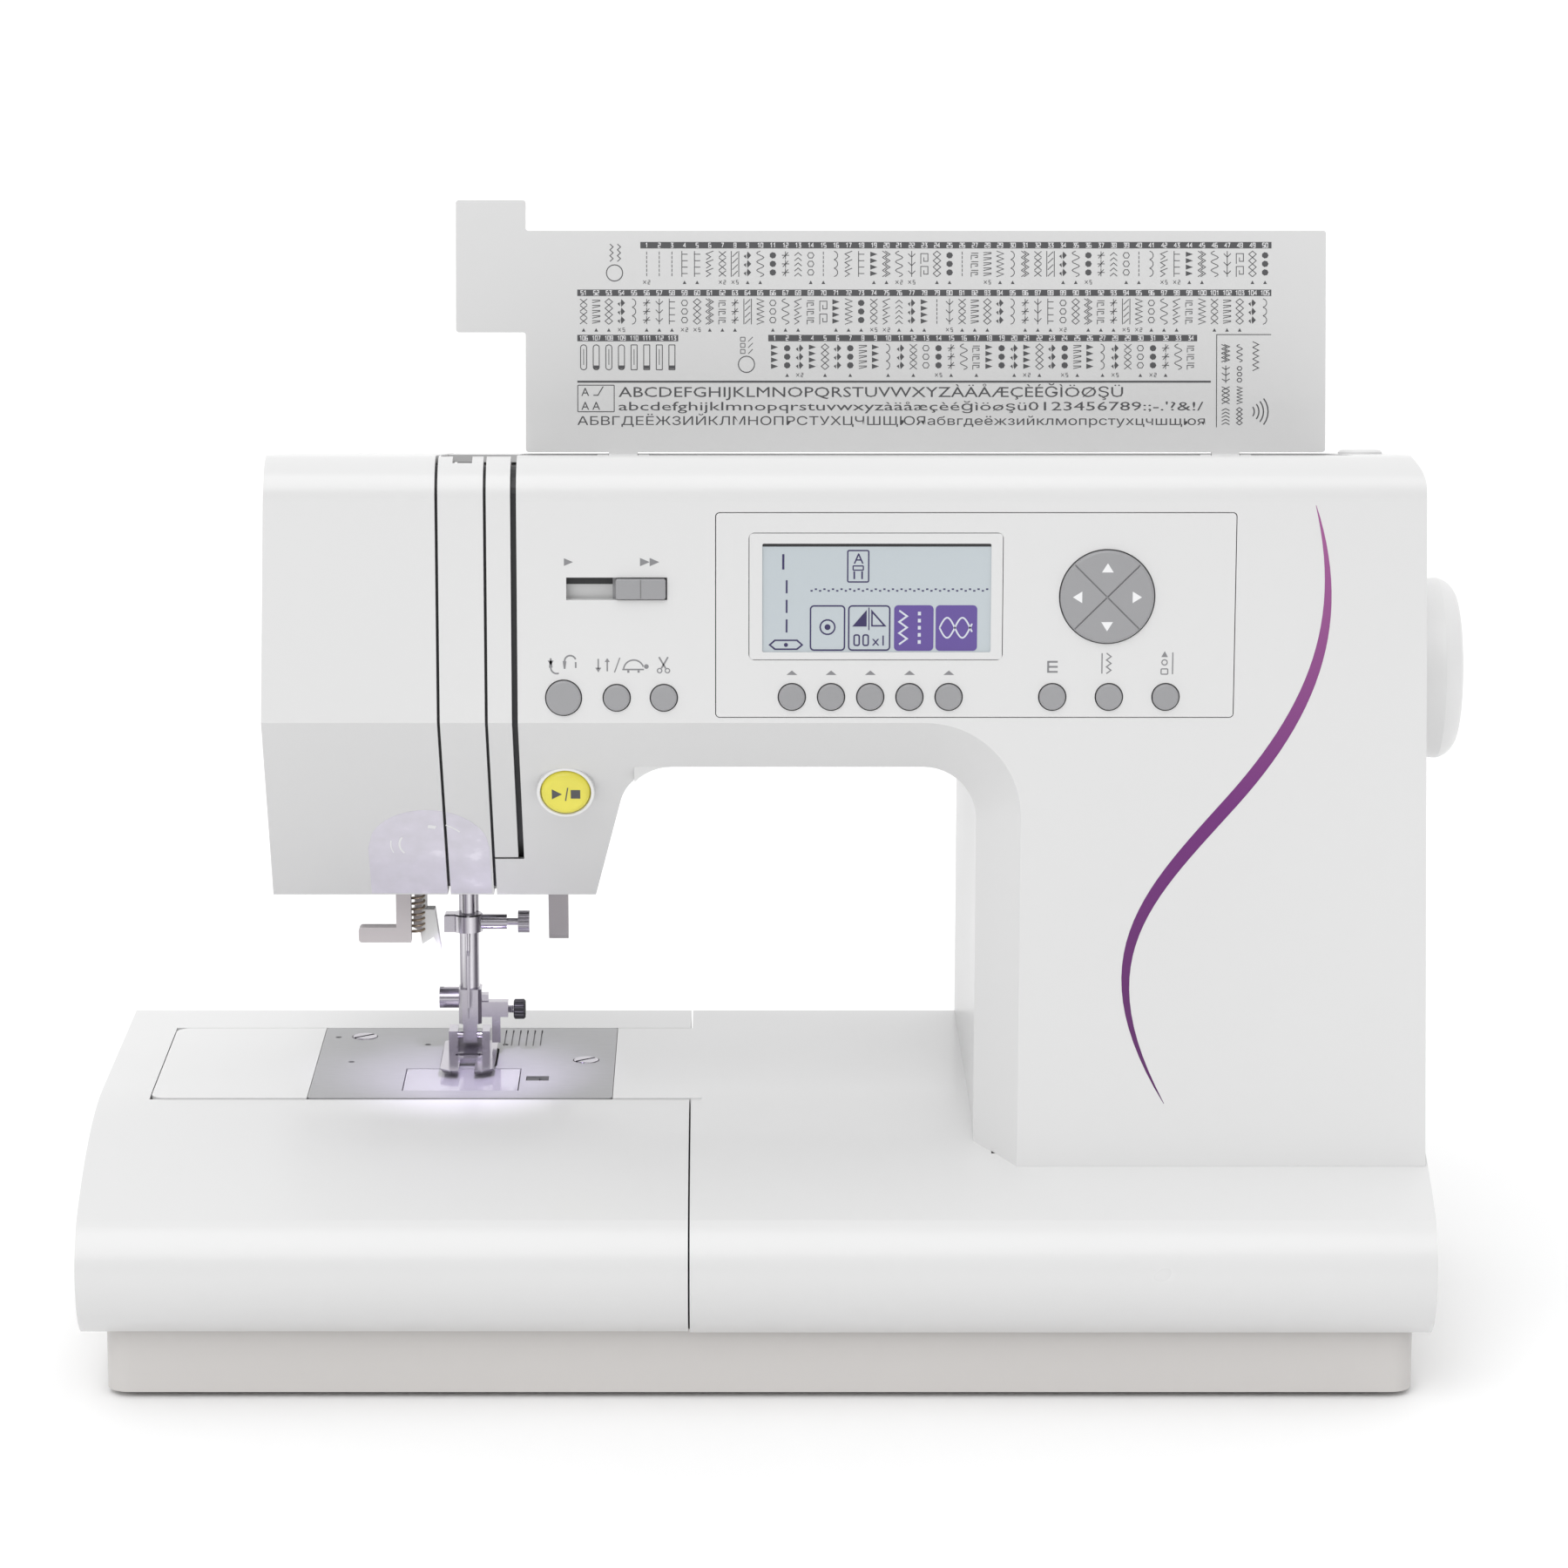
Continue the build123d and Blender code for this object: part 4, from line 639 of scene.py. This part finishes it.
def arrows():
    """The four arrows on the pad."""
    u, v = 107.3, 273.0
    out = 9.9
    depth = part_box("arrow_pad")[0][1] / MM
    ink = Sheet((0, depth, 0), ACROSS, UP)
    for turn in (0, 90, 180, 270):
        a = math.radians(turn)
        triangle(ink, u - out * math.sin(a), v + out * math.cos(a), 3.9, 3.1, turn)
    ink.finish("pad_arrows", "pad", PRINT_AND_HIGHLIGHT_WHITE, "grey_key")


def start_sign():
    """A lighter ring on the rim of the lit button, a painted highlight for the light that the rim catches,
    and the start and stop signs on its face.
    """
    lean = math.radians(20)
    proud = 1.6
    up = (0, -math.sin(lean), math.cos(lean))
    out = Vector((0, -math.cos(lean), -math.sin(lean)))
    rim = Vector((-73.3, -52.7, 202.7))
    # Painted highlight: a white band where the raised rim catches light.
    ring = Sheet(rim, ACROSS, up, 0.25)
    ring.ring(0, 0, 9.6, 0.8, 48)
    ring.finish("start_ring", "machine", PRINT_AND_HIGHLIGHT_WHITE, "white_cover")
    ink = Sheet(rim + out * proud, ACROSS, up)
    ink.prism([(-4.6, -1.8), (-4.6, 2.2), (-1.2, 0.2)])
    ink.line([(0.0, -2.4), (0.8, 2.8)], 0.4)
    ink.box(1.8, 5.0, -1.5, 1.9)
    ink.finish("start_sign", "start", PRINT_DARK, "black_plastic")


def slider_track():
    """The back of the speed slot, with a black strip of painted shade along its gap, and a dark line of
    painted shade for the groove on the slider.
    """
    track = Sheet((0, -65.4, 0), ACROSS, UP, 0.8)
    track.box(-75.0, -36.0, 268.0, 283.2)
    track.finish("speed_track", "machine", WHITE, "white_cover")
    # Painted shade: a black strip where the slot's gap shows dark.
    gap = Sheet((0, -66.2, 0), ACROSS, UP, 0.1)
    gap.box(-74.0, -37.0, 276.4, 280.6)
    gap.finish("speed_gap", "machine", BLACK, "black_plastic")
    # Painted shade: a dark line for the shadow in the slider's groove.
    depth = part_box("speed_slider")[0][1] / MM
    mark = Sheet((0, depth, 0), ACROSS, UP)
    mark.box(-47.6, -47.2, 272.6, 278.8)
    mark.finish("speed_mark", "slider", GROOVE, "grey_key")


panel_icons()
screen()
arrows()
start_sign()
slider_track()


# ---------------------------------------------------------------- stitch chart on the lid
LID_TILT = math.radians(79.9)
LID_FOOT = (0, 31.0, 303.2)
CHART_PITCH = 4.4  # from one pattern to the next

DIGITS = {
    "0": [(0, 0), (0, 2), (1, 2), (1, 0), (0, 0)],
    "1": [(0.1, 1.5), (0.6, 2), (0.6, 0)],
    "2": [(0, 2), (1, 2), (1, 1), (0, 1), (0, 0), (1, 0)],
    "3": [(0, 2), (1, 2), (0.4, 1.05), (1, 1), (1, 0), (0, 0)],
    "4": [(0.8, 0), (0.8, 2), (0, 0.7), (1.1, 0.7)],
    "5": [(1, 2), (0, 2), (0, 1), (1, 1), (1, 0), (0, 0)],
    "6": [(1, 2), (0, 2), (0, 0), (1, 0), (1, 1), (0.1, 1)],
    "7": [(0, 2), (1, 2), (0.4, 0)],
    "8": [(0, 0), (0, 2), (1, 2), (1, 0), (0, 0), (0, 1), (1, 1)],
    "9": [(0, 0), (1, 0), (1, 2), (0, 2), (0, 1), (0.9, 1)],
}

# Each stitch is a short design that repeats up its column: how many times,
# the lines and the filled shapes of one repeat, in a cell one wide and one high.
WAVE = [(0.4 * math.sin(math.pi * i / 4), i / 8) for i in range(9)]
STITCHES = [
    (6, [[(0, 0.15), (0, 0.85)]], []),
    (5, [[(-0.4, 0), (0.4, 0.5), (-0.4, 1)]], []),
    (4, [[(-0.3, 0), (-0.3, 1)], [(-0.3, 0.5), (0.35, 0.5)]], []),
    (4, [[(-0.4, 0.05), (0.4, 0.95)], [(0.4, 0.05), (-0.4, 0.95)]], []),
    (3, [WAVE], []),
    (4, [[(0, 0), (0.42, 0.5), (0, 1), (-0.42, 0.5), (0, 0)]], []),
    (5, [[(-0.4, 0.1), (0, 0.7), (0.4, 0.1)]], []),
    (3, [[(-0.4, 0), (-0.4, 0.5), (0.3, 0.5), (0.3, 0.25), (0, 0.25)], [(0.4, 0.75), (-0.4, 0.75)]], []),
    (3, [arc(-0.3, 0.5, 0.5, -80, 80, 5)], []),
    (4, [], [[(-0.4, 0.1), (0.4, 0.5), (-0.4, 0.9)]]),
    (4, [[(0.42, 0), (0.42, 1)], [(-0.42, 0), (-0.42, 1)], [(-0.3, 0.1), (0.3, 0.9)]], []),
    (3, [[(0, 0), (0, 1)], [(0, 0.3), (0.4, 0.7)], [(0, 0.3), (-0.4, 0.7)]], []),
    (3, [], [circle(0, 0.5, 0.38, 7)]),
    (3, [circle(0, 0.5, 0.36, 6) + [(0.36, 0.5)]], []),
    (5, [[(-0.45, 0.2), (0.45, 0.55)], [(-0.45, 0.7), (0.45, 0.7)]], []),
    (3, [[(-0.4, 0), (0.1, 0.33), (-0.4, 0.66), (0.4, 1)]], []),
    (4, [[(-0.15, 0), (0.4, 0.5), (-0.15, 1)], [(-0.45, 0), (0.1, 0.5), (-0.45, 1)]], []),
    (3, [], [[(0, 0.05), (0.4, 0.5), (0, 0.95), (-0.1, 0.5)], [(-0.45, 0.4), (-0.15, 0.1), (-0.2, 0.6)]]),
    (2, [[(-0.4, 0), (-0.4, 0.8), (0.4, 0.8), (0.4, 0.2), (-0.05, 0.2), (-0.05, 0.5)]], []),
    (3, [[(-0.4, 0.5), (0.4, 0.5)], [(0, 0.05), (0, 0.95)], [(-0.3, 0.15), (0.3, 0.85)]], []),
]
SATIN = [9, 12, 17, 9, 5, 17, 12, 14, 9, 8, 17, 3, 13, 12, 19, 4, 7]


def chart_sheet(height=INK):
    """A sheet on the lid's inner face; v runs up the lid."""
    up = (0, math.cos(LID_TILT), math.sin(LID_TILT))
    return Sheet(LID_FOOT, ACROSS, up, height)


def up_lid(z):
    """How far up the lid a height above the floor is."""
    return (z - LID_FOOT[2]) / math.sin(LID_TILT)


def number(sheet, value, u, v, size):
    """A number in line strokes, centred on u."""
    words = str(value)
    step = size * 0.72
    left = u - step * len(words) / 2 + size * 0.11
    for i, digit in enumerate(words):
        stroke = [(left + i * step + x * size * 0.5, v + y * size * 0.5) for x, y in DIGITS[digit]]
        sheet.line(stroke, size * 0.17)


def stitch(sheet, kind, u, v0, v1, width, weight):
    """One stitch pattern up a column from v0 to v1."""
    repeats, lines, shapes = STITCHES[kind]
    tall = (v1 - v0) / repeats
    for i in range(repeats):
        foot = v0 + i * tall
        for line in lines:
            sheet.line([(u + x * width, foot + y * tall) for x, y in line], weight)
        for shape in shapes:
            sheet.prism([(u + x * width, foot + y * tall) for x, y in shape])


def row(ink, white, first, count, u0, z, kinds, notes):
    """A row of the chart: a dark bar of numbers, the stitches under it and some notes."""
    ink.box(u0 - CHART_PITCH / 2, u0 + CHART_PITCH * (count - 0.5), up_lid(z - 1.1), up_lid(z + 1.1))
    for i in range(count):
        u = u0 + CHART_PITCH * i
        number(white, first + i, u, up_lid(z - 0.75), 1.5)
        stitch(ink, kinds[i % len(kinds)], u, up_lid(z - 10.8), up_lid(z - 2.0), 3.1, 0.27)
        if (i * 7 + count) % 5 in notes:
            triangle(ink, u, up_lid(z - 12.7), 1.3, 1.2, 0)
        elif (i * 5 + count) % 7 in notes:
            ink.line([(u - 1.2, up_lid(z - 13.2)), (u - 0.2, up_lid(z - 12.1))], 0.2)
            ink.line([(u - 1.2, up_lid(z - 12.1)), (u - 0.2, up_lid(z - 13.2))], 0.2)
            number(ink, 2 + i % 2 * 3, u + 0.8, up_lid(z - 13.3), 1.3)


def chart():
    """The printed chart: numbered stitches, buttonholes and alphabets."""
    ink = chart_sheet()
    white = chart_sheet(2 * INK)
    mixed = [(i * 7 + i // 5) % len(STITCHES) for i in range(60)]
    other = [(i * 11 + 3 + i // 3) % len(STITCHES) for i in range(60)]
    row(ink, white, 1, 50, -46.8, 377.0, [0, 0, 0, 2, 2, 15] + mixed[6:50], (1, 3))
    row(ink, white, 51, 55, -68.8, 360.7, other[:49] + [1], (0, 2, 4))
    row(ink, white, 1, 34, -2.2, 345.2, SATIN, (1, 2))

    # buttonholes: long outlines with bars at their ends
    ink.box(-71.0, -71.0 + 8 * CHART_PITCH, up_lid(344.1), up_lid(346.3))
    for i in range(8):
        u = -68.8 + CHART_PITCH * i
        number(white, 106 + i, u, up_lid(344.5), 1.4)
        ink.frame(u - 1.2, u + 1.2, up_lid(334.2), up_lid(343.0), 1.1 if i < 4 else 0.3, 0.3)
        if i % 2:
            ink.box(u - 0.9, u + 0.9, up_lid(334.6), up_lid(335.8))
        else:
            ink.line([(u, up_lid(336.0)), (u, up_lid(341.4))], 0.25)

    # round signs of the pattern groups
    for u, z in ((-58.0, 367.5), (-12.0, 336.2)):
        ink.ring(u, up_lid(z), 3.0, 0.35, 20)
    for u in (-59.6, -57.0):
        ink.line([(u + 1.1 * (i % 2), up_lid(371.4 + 1.0 * i)) for i in range(7)], 0.3)
    for i in range(3):
        ink.frame(-14.2, -12.4, up_lid(339.8 + 2.1 * i), up_lid(341.4 + 2.1 * i), 0.3, 0.25)
        ink.line([(-11.4, up_lid(339.8 + 2.1 * i)), (-9.8, up_lid(341.4 + 2.1 * i))], 0.25)

    # alphabets under a heavy line
    ink.box(-71.0, 150.0, up_lid(329.9), up_lid(330.6))
    ink.frame(-71.0, -58.0, up_lid(319.8), up_lid(329.2), 0.4, 0.3)
    ink.text("A", -69.6, up_lid(325.4), 2.8)
    ink.line([(-65.4, up_lid(325.6)), (-63.8, up_lid(325.6)), (-62.0, up_lid(328.6))], 0.35)
    ink.text("A A", -69.6, up_lid(320.6), 2.8)
    ink.text("ABCDEFGHIJKLMNOPQRSTUVWXYZÀÄÅÆÇÈÉĞÌÖØŞÜ", -56.6, up_lid(325.0), 3.5, 176.0)
    small = "abcdefghijklmnopqrstuvwxyzàäåæçèéğìöøşü0123456789:;-.'?&!/"
    ink.text(small, -56.6, up_lid(320.4), 3.0, 204.0)
    cyrillic = "АБВГДЕЁЖЗИЙКЛМНОПРСТУХЦЧШЩЮЯабвгдеёжзийклмопрстухцчшщюя"
    ink.text(cyrillic, -71.0, up_lid(315.4), 2.9, 219.0)

    # a box of wide patterns at the right
    ink.line([(152.0, up_lid(314.6)), (152.0, up_lid(346.4)), (171.0, up_lid(346.4))], 0.3)
    for i in range(4):
        low = 315.4 + 7.2 * i
        stitch(ink, (6, 3, 11, 16)[i], 155.2, up_lid(low), up_lid(low + 6.0), 3.4, 0.3)
        stitch(ink, (5, 1, 13, 4)[i], 160.0, up_lid(low), up_lid(low + 6.0), 2.4, 0.3)
    for radius in (2.6, 4.2, 5.8, 7.4):
        ink.line(arc(162.6, up_lid(320.0), radius, -38, 38, 6), 0.45)
    stitch(ink, 1, 165.6, up_lid(334.0), up_lid(344.0), 2.6, 0.3)
    ink.finish("stitch_chart", "lid", PRINT_DARK, "deck_white")
    white.finish("chart_numbers", "lid", PRINT_AND_HIGHLIGHT_WHITE, "deck_white")


chart()


# ---------------------------------------------------------------- trim of the body
def ribbon(sheet, left, right):
    """A raised strip between two lines of points that run side by side."""
    rows = []
    for line, lift in ((left, 0), (left, sheet.height), (right, sheet.height), (right, 0)):
        rows.append([sheet.mesh.verts.new(sheet.point(u, v, lift)) for u, v in line])
    for i in range(len(left) - 1):
        for k in range(4):
            near, far = rows[k], rows[(k + 1) % 4]
            sheet.mesh.faces.new((near[i], far[i], far[i + 1], near[i + 1]))
    for i in (0, -1):
        sheet.mesh.faces.new([row[i] for row in rows])


def bezier(p0, p1, p2, p3, steps):
    """Points along one cubic curve."""
    points = []
    for i in range(steps + 1):
        t = i / steps
        shares = ((1 - t) ** 3, 3 * t * (1 - t) ** 2, 3 * t * t * (1 - t), t**3)
        here = [share * Vector(p) for share, p in zip(shares, (p0, p1, p2, p3))]
        points.append(here[0] + here[1] + here[2] + here[3])
    return points


def swoosh_paint():
    """Metallic plum that deepens towards the foot of the stripe."""
    made, tree, shader = new_material("stripe_plum")
    coordinates = tree.nodes.new("ShaderNodeTexCoord")
    split = tree.nodes.new("ShaderNodeSeparateXYZ")
    tree.links.new(coordinates.outputs["Object"], split.inputs["Vector"])
    reach = tree.nodes.new("ShaderNodeMapRange")
    reach.inputs["From Min"].default_value = 0.10
    reach.inputs["From Max"].default_value = 0.30
    tree.links.new(split.outputs["Z"], reach.inputs["Value"])
    shades = [(0.0, (0.085, 0.008, 0.10)), (0.5, (0.14, 0.012, 0.16)), (1.0, (0.33, 0.09, 0.27))]
    tree.links.new(ramp(tree, reach.outputs["Result"], shades), shader.inputs["Base Color"])
    tree.links.new(remap(tree, noise(tree, 400, 2), 0.3, 0.42), shader.inputs["Roughness"])
    return made


def stripe():
    """The tapered double curve down the column."""
    path = bezier((175.9, 303.6), (187.0, 266.0), (178.0, 236.0), (150.0, 203.5), 26)
    path += bezier((150.0, 203.5), (122.0, 171.0), (100.0, 150.0), (129.0, 98.9), 26)[1:]
    left, right = [], []
    for i, here in enumerate(path):
        t = i / (len(path) - 1)
        run = (path[min(i + 1, len(path) - 1)] - path[max(i - 1, 0)]).normalized()
        half = 0.08 + 2.2 * math.sin(math.pi * t) ** 0.8
        left.append((here.x - run.y * half, here.y + run.x * half))
        right.append((here.x + run.y * half, here.y - run.x * half))
    paint = on_front(0.05)
    ribbon(paint, left, right)
    paint.finish("column_stripe", "machine", swoosh_paint(), "white_cover")


def inner_profile(inset):
    """Y and Z down the inside of the head's top, front and slope."""
    middle = (-58.0, 305.3)
    points = [(-30.0, 313.6 - inset)]
    points += [(y, z) for y, z in arc(*middle, 13.0 - inset, 96, 180, 8)]
    points.append((FRONT + inset, SLOPE_TOP + 0.4 * inset))
    points.append((-13.0 + 0.78 * inset, SLOPE_FOOT + 0.626 * inset))
    return points


def skin(name, rows):
    """A closed mesh over rings of points, in metres, with an end face on the first and the last."""
    mesh = bmesh.new()
    rings = [[mesh.verts.new(spot) for spot in row] for row in rows]
    for near, far in zip(rings, rings[1:]):
        for k in range(len(near)):
            j = (k + 1) % len(near)
            mesh.faces.new((near[k], near[j], far[j], far[k]))
    mesh.faces.new(rings[0][::-1])
    mesh.faces.new(rings[-1])
    bmesh.ops.recalc_face_normals(mesh, faces=mesh.faces)
    made = bpy.data.meshes.new(name)
    mesh.to_mesh(made)
    mesh.free()
    return made


def seam_backs():
    """Dark strips behind the upright gaps of the head: painted shade for the dark inside of the gaps."""
    near, far = 3.0, 3.5
    gaps = [("face_seam", -117.4, -112.6), ("slot_seam", -101.4, -96.6), ("thread_seam", -92.4, -86.0)]
    for name, x0, x1 in gaps:
        rows = []
        for shallow, deep in zip(inner_profile(near), inner_profile(far)):
            ring = [(x0, *shallow), (x1, *shallow), (x1, *deep), (x0, *deep)]
            rows.append([Vector(spot) * MM for spot in ring])
        add_piece(name, skin(name, rows), "machine", BLACK)


def lamp_glass():
    """Pale lilac glass, lit from behind, with a few lighter patches."""
    made, tree, shader = new_material("lamp_window")
    patches = noise(tree, 130, 3)
    shades = [(0.35, (0.60, 0.585, 0.63)), (0.62, (0.65, 0.63, 0.69)), (0.74, (0.76, 0.74, 0.80))]
    tree.links.new(ramp(tree, patches, shades), shader.inputs["Base Color"])
    shader.inputs["Emission Color"].default_value = (0.72, 0.62, 0.95, 1)
    shader.inputs["Emission Strength"].default_value = 0.06
    shader.inputs["Roughness"].default_value = 0.12
    shader.inputs["Coat Weight"].default_value = 0.6
    return made


def lamp_window():
    """The domed window on the slope, in two panes beside the gap, with painted glints."""
    foot_y = FRONT + (SLOPE_TOP - SLOPE_FOOT) * (58 / 72.2)
    foot = (-121.0, foot_y, SLOPE_FOOT)
    radius, rise = 20.8, 25.0
    pane = Sheet(foot, ACROSS, SLOPE_UP, 0.08)
    for left, right in ((-radius, 5.4), (6.6, radius)):
        top = []
        for i in range(17):
            u = right + (left - right) * i / 16
            top.append((u, rise + math.sqrt(max(radius**2 - u * u, 0))))
        pane.prism([(left, 0), (right, 0)] + top)
    pane.finish("lamp_window", "machine", lamp_glass(), "clear_cover")
    glints = Sheet(foot, ACROSS, SLOPE_UP, 0.12)
    glints.line(arc(-2.0, 27.0, 8.0, 150, 215, 8), 0.7)
    glints.line(arc(-1.0, 26.0, 11.0, 70, 84, 3), 1.6)
    glints.line(arc(-1.0, 24.0, 15.5, 40, 62, 5), 0.6)
    glints.line(arc(0.0, 27.0, 13.0, 170, 200, 5), 0.4)
    glints.finish("lamp_glints", "machine", PRINT_AND_HIGHLIGHT_WHITE, "clear_cover")


def needle_lamp():
    """The lamp under the head, aimed at the needle plate."""
    beam = bpy.data.lights.new("needle_lamp", "SPOT")
    beam.energy = 0.26
    beam.color = (0.80, 0.72, 1.0)
    beam.spot_size = math.radians(84)
    beam.spot_blend = 0.9
    beam.shadow_soft_size = 0.004
    holder = bpy.data.objects.new("needle_lamp", beam)
    holder.location = (-0.104, -0.002, 0.1555)
    holder.rotation_euler = Vector((-0.006, 0.010, -0.067)).to_track_quat("-Z", "Y").to_euler()
    bpy.context.scene.collection.objects.link(holder)


def helix(name, body, middle, radius, low, high, turns, wire):
    """A wound spring about an upright axis, in millimetres; wire is the wire's radius."""
    per_turn = 14
    sides = 6
    steps = turns * per_turn
    rows = []
    for i in range(steps + 1):
        turn = 2 * math.pi * i / per_turn
        out = Vector((math.cos(turn), math.sin(turn), 0))
        here = Vector((*middle, low + (high - low) * i / steps)) + out * radius
        row = []
        for k in range(sides):
            a = 2 * math.pi * k / sides
            row.append((here + out * (wire * math.cos(a)) + Vector((0, 0, wire * math.sin(a)))) * MM)
        rows.append(row)
    return add_piece(name, skin(name, rows), body, SPRING, smooth=True)


def turned(name, body, start, axis, profile, material, sides=32, ribs=0, rib=0.0):
    """A turned piece: (distance along, radius) steps about an axis, its rim ribbed if asked."""
    axis = Vector(axis).normalized()
    side = axis.orthogonal().normalized()
    across = axis.cross(side)
    sides = ribs * 4 if ribs else sides
    widest = max(radius for _, radius in profile)
    rows = []
    for along, radius in profile:
        row = []
        for k in range(sides):
            a = 2 * math.pi * k / sides
            cut = rib if ribs and radius > 0.97 * widest and k % 4 in (2, 3) else 0.0
            out = (side * math.cos(a) + across * math.sin(a)) * (radius - cut)
            row.append((Vector(start) + axis * along + out) * MM)
        rows.append(row)
    return add_piece(name, skin(name, rows), body, material)


def presser_coil():
    """The presser bar's spring, wound round the bar, as one fixed coil; the real spring shortens from
    below as the bar lifts.
    """
    low, high = [corner / MM for corner in map(Vector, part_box("presser_spring"))]
    middle = ((low.x + high.x) / 2, (low.y + high.y) / 2)
    radius = 0.4 * (high.x - low.x)
    wound = helix("presser_coil", "machine", middle, radius, low.z + 0.6, high.z - 0.6, 12, 0.5)
    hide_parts("presser_spring")
    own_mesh(wound)


def small_metal():
    """The threader's spring, and the guide's knurled knob and threaded stem."""
    helix("threader_spring", "threader", (-127.4, 11.5), 2.3, 138.0, 156.0, 9, 0.42)
    stem_y, stem_z = 36.0, 104.5
    knob = [(0, 3.0), (0.4, 3.6), (3.6, 3.6), (4.2, 3.0)]
    place = (-95.0, stem_y, stem_z)
    turned("guide_knob", "presser", place, ACROSS, knob, BLACK, ribs=18, rib=0.3)
    thread = [(0.25 * i, 1.25 + 0.15 * (i % 2)) for i in range(11)]
    turned("guide_screw", "presser", (-97.3, stem_y, stem_z), ACROSS, thread, CHROME)


def top_cap():
    """The low round cap at the right end of the top, square to its slight slope."""
    profile = [(0, 7.6), (1.4, 7.6), (2.1, 6.8), (2.3, 5.0)]
    slope = (0, 0.1423, 1)
    turned("top_cap", "machine", (199.8, 12.0, 307.6), slope, profile, WHITE, sides=48)


stripe()
seam_backs()
lamp_window()
needle_lamp()
presser_coil()
small_metal()
top_cap()
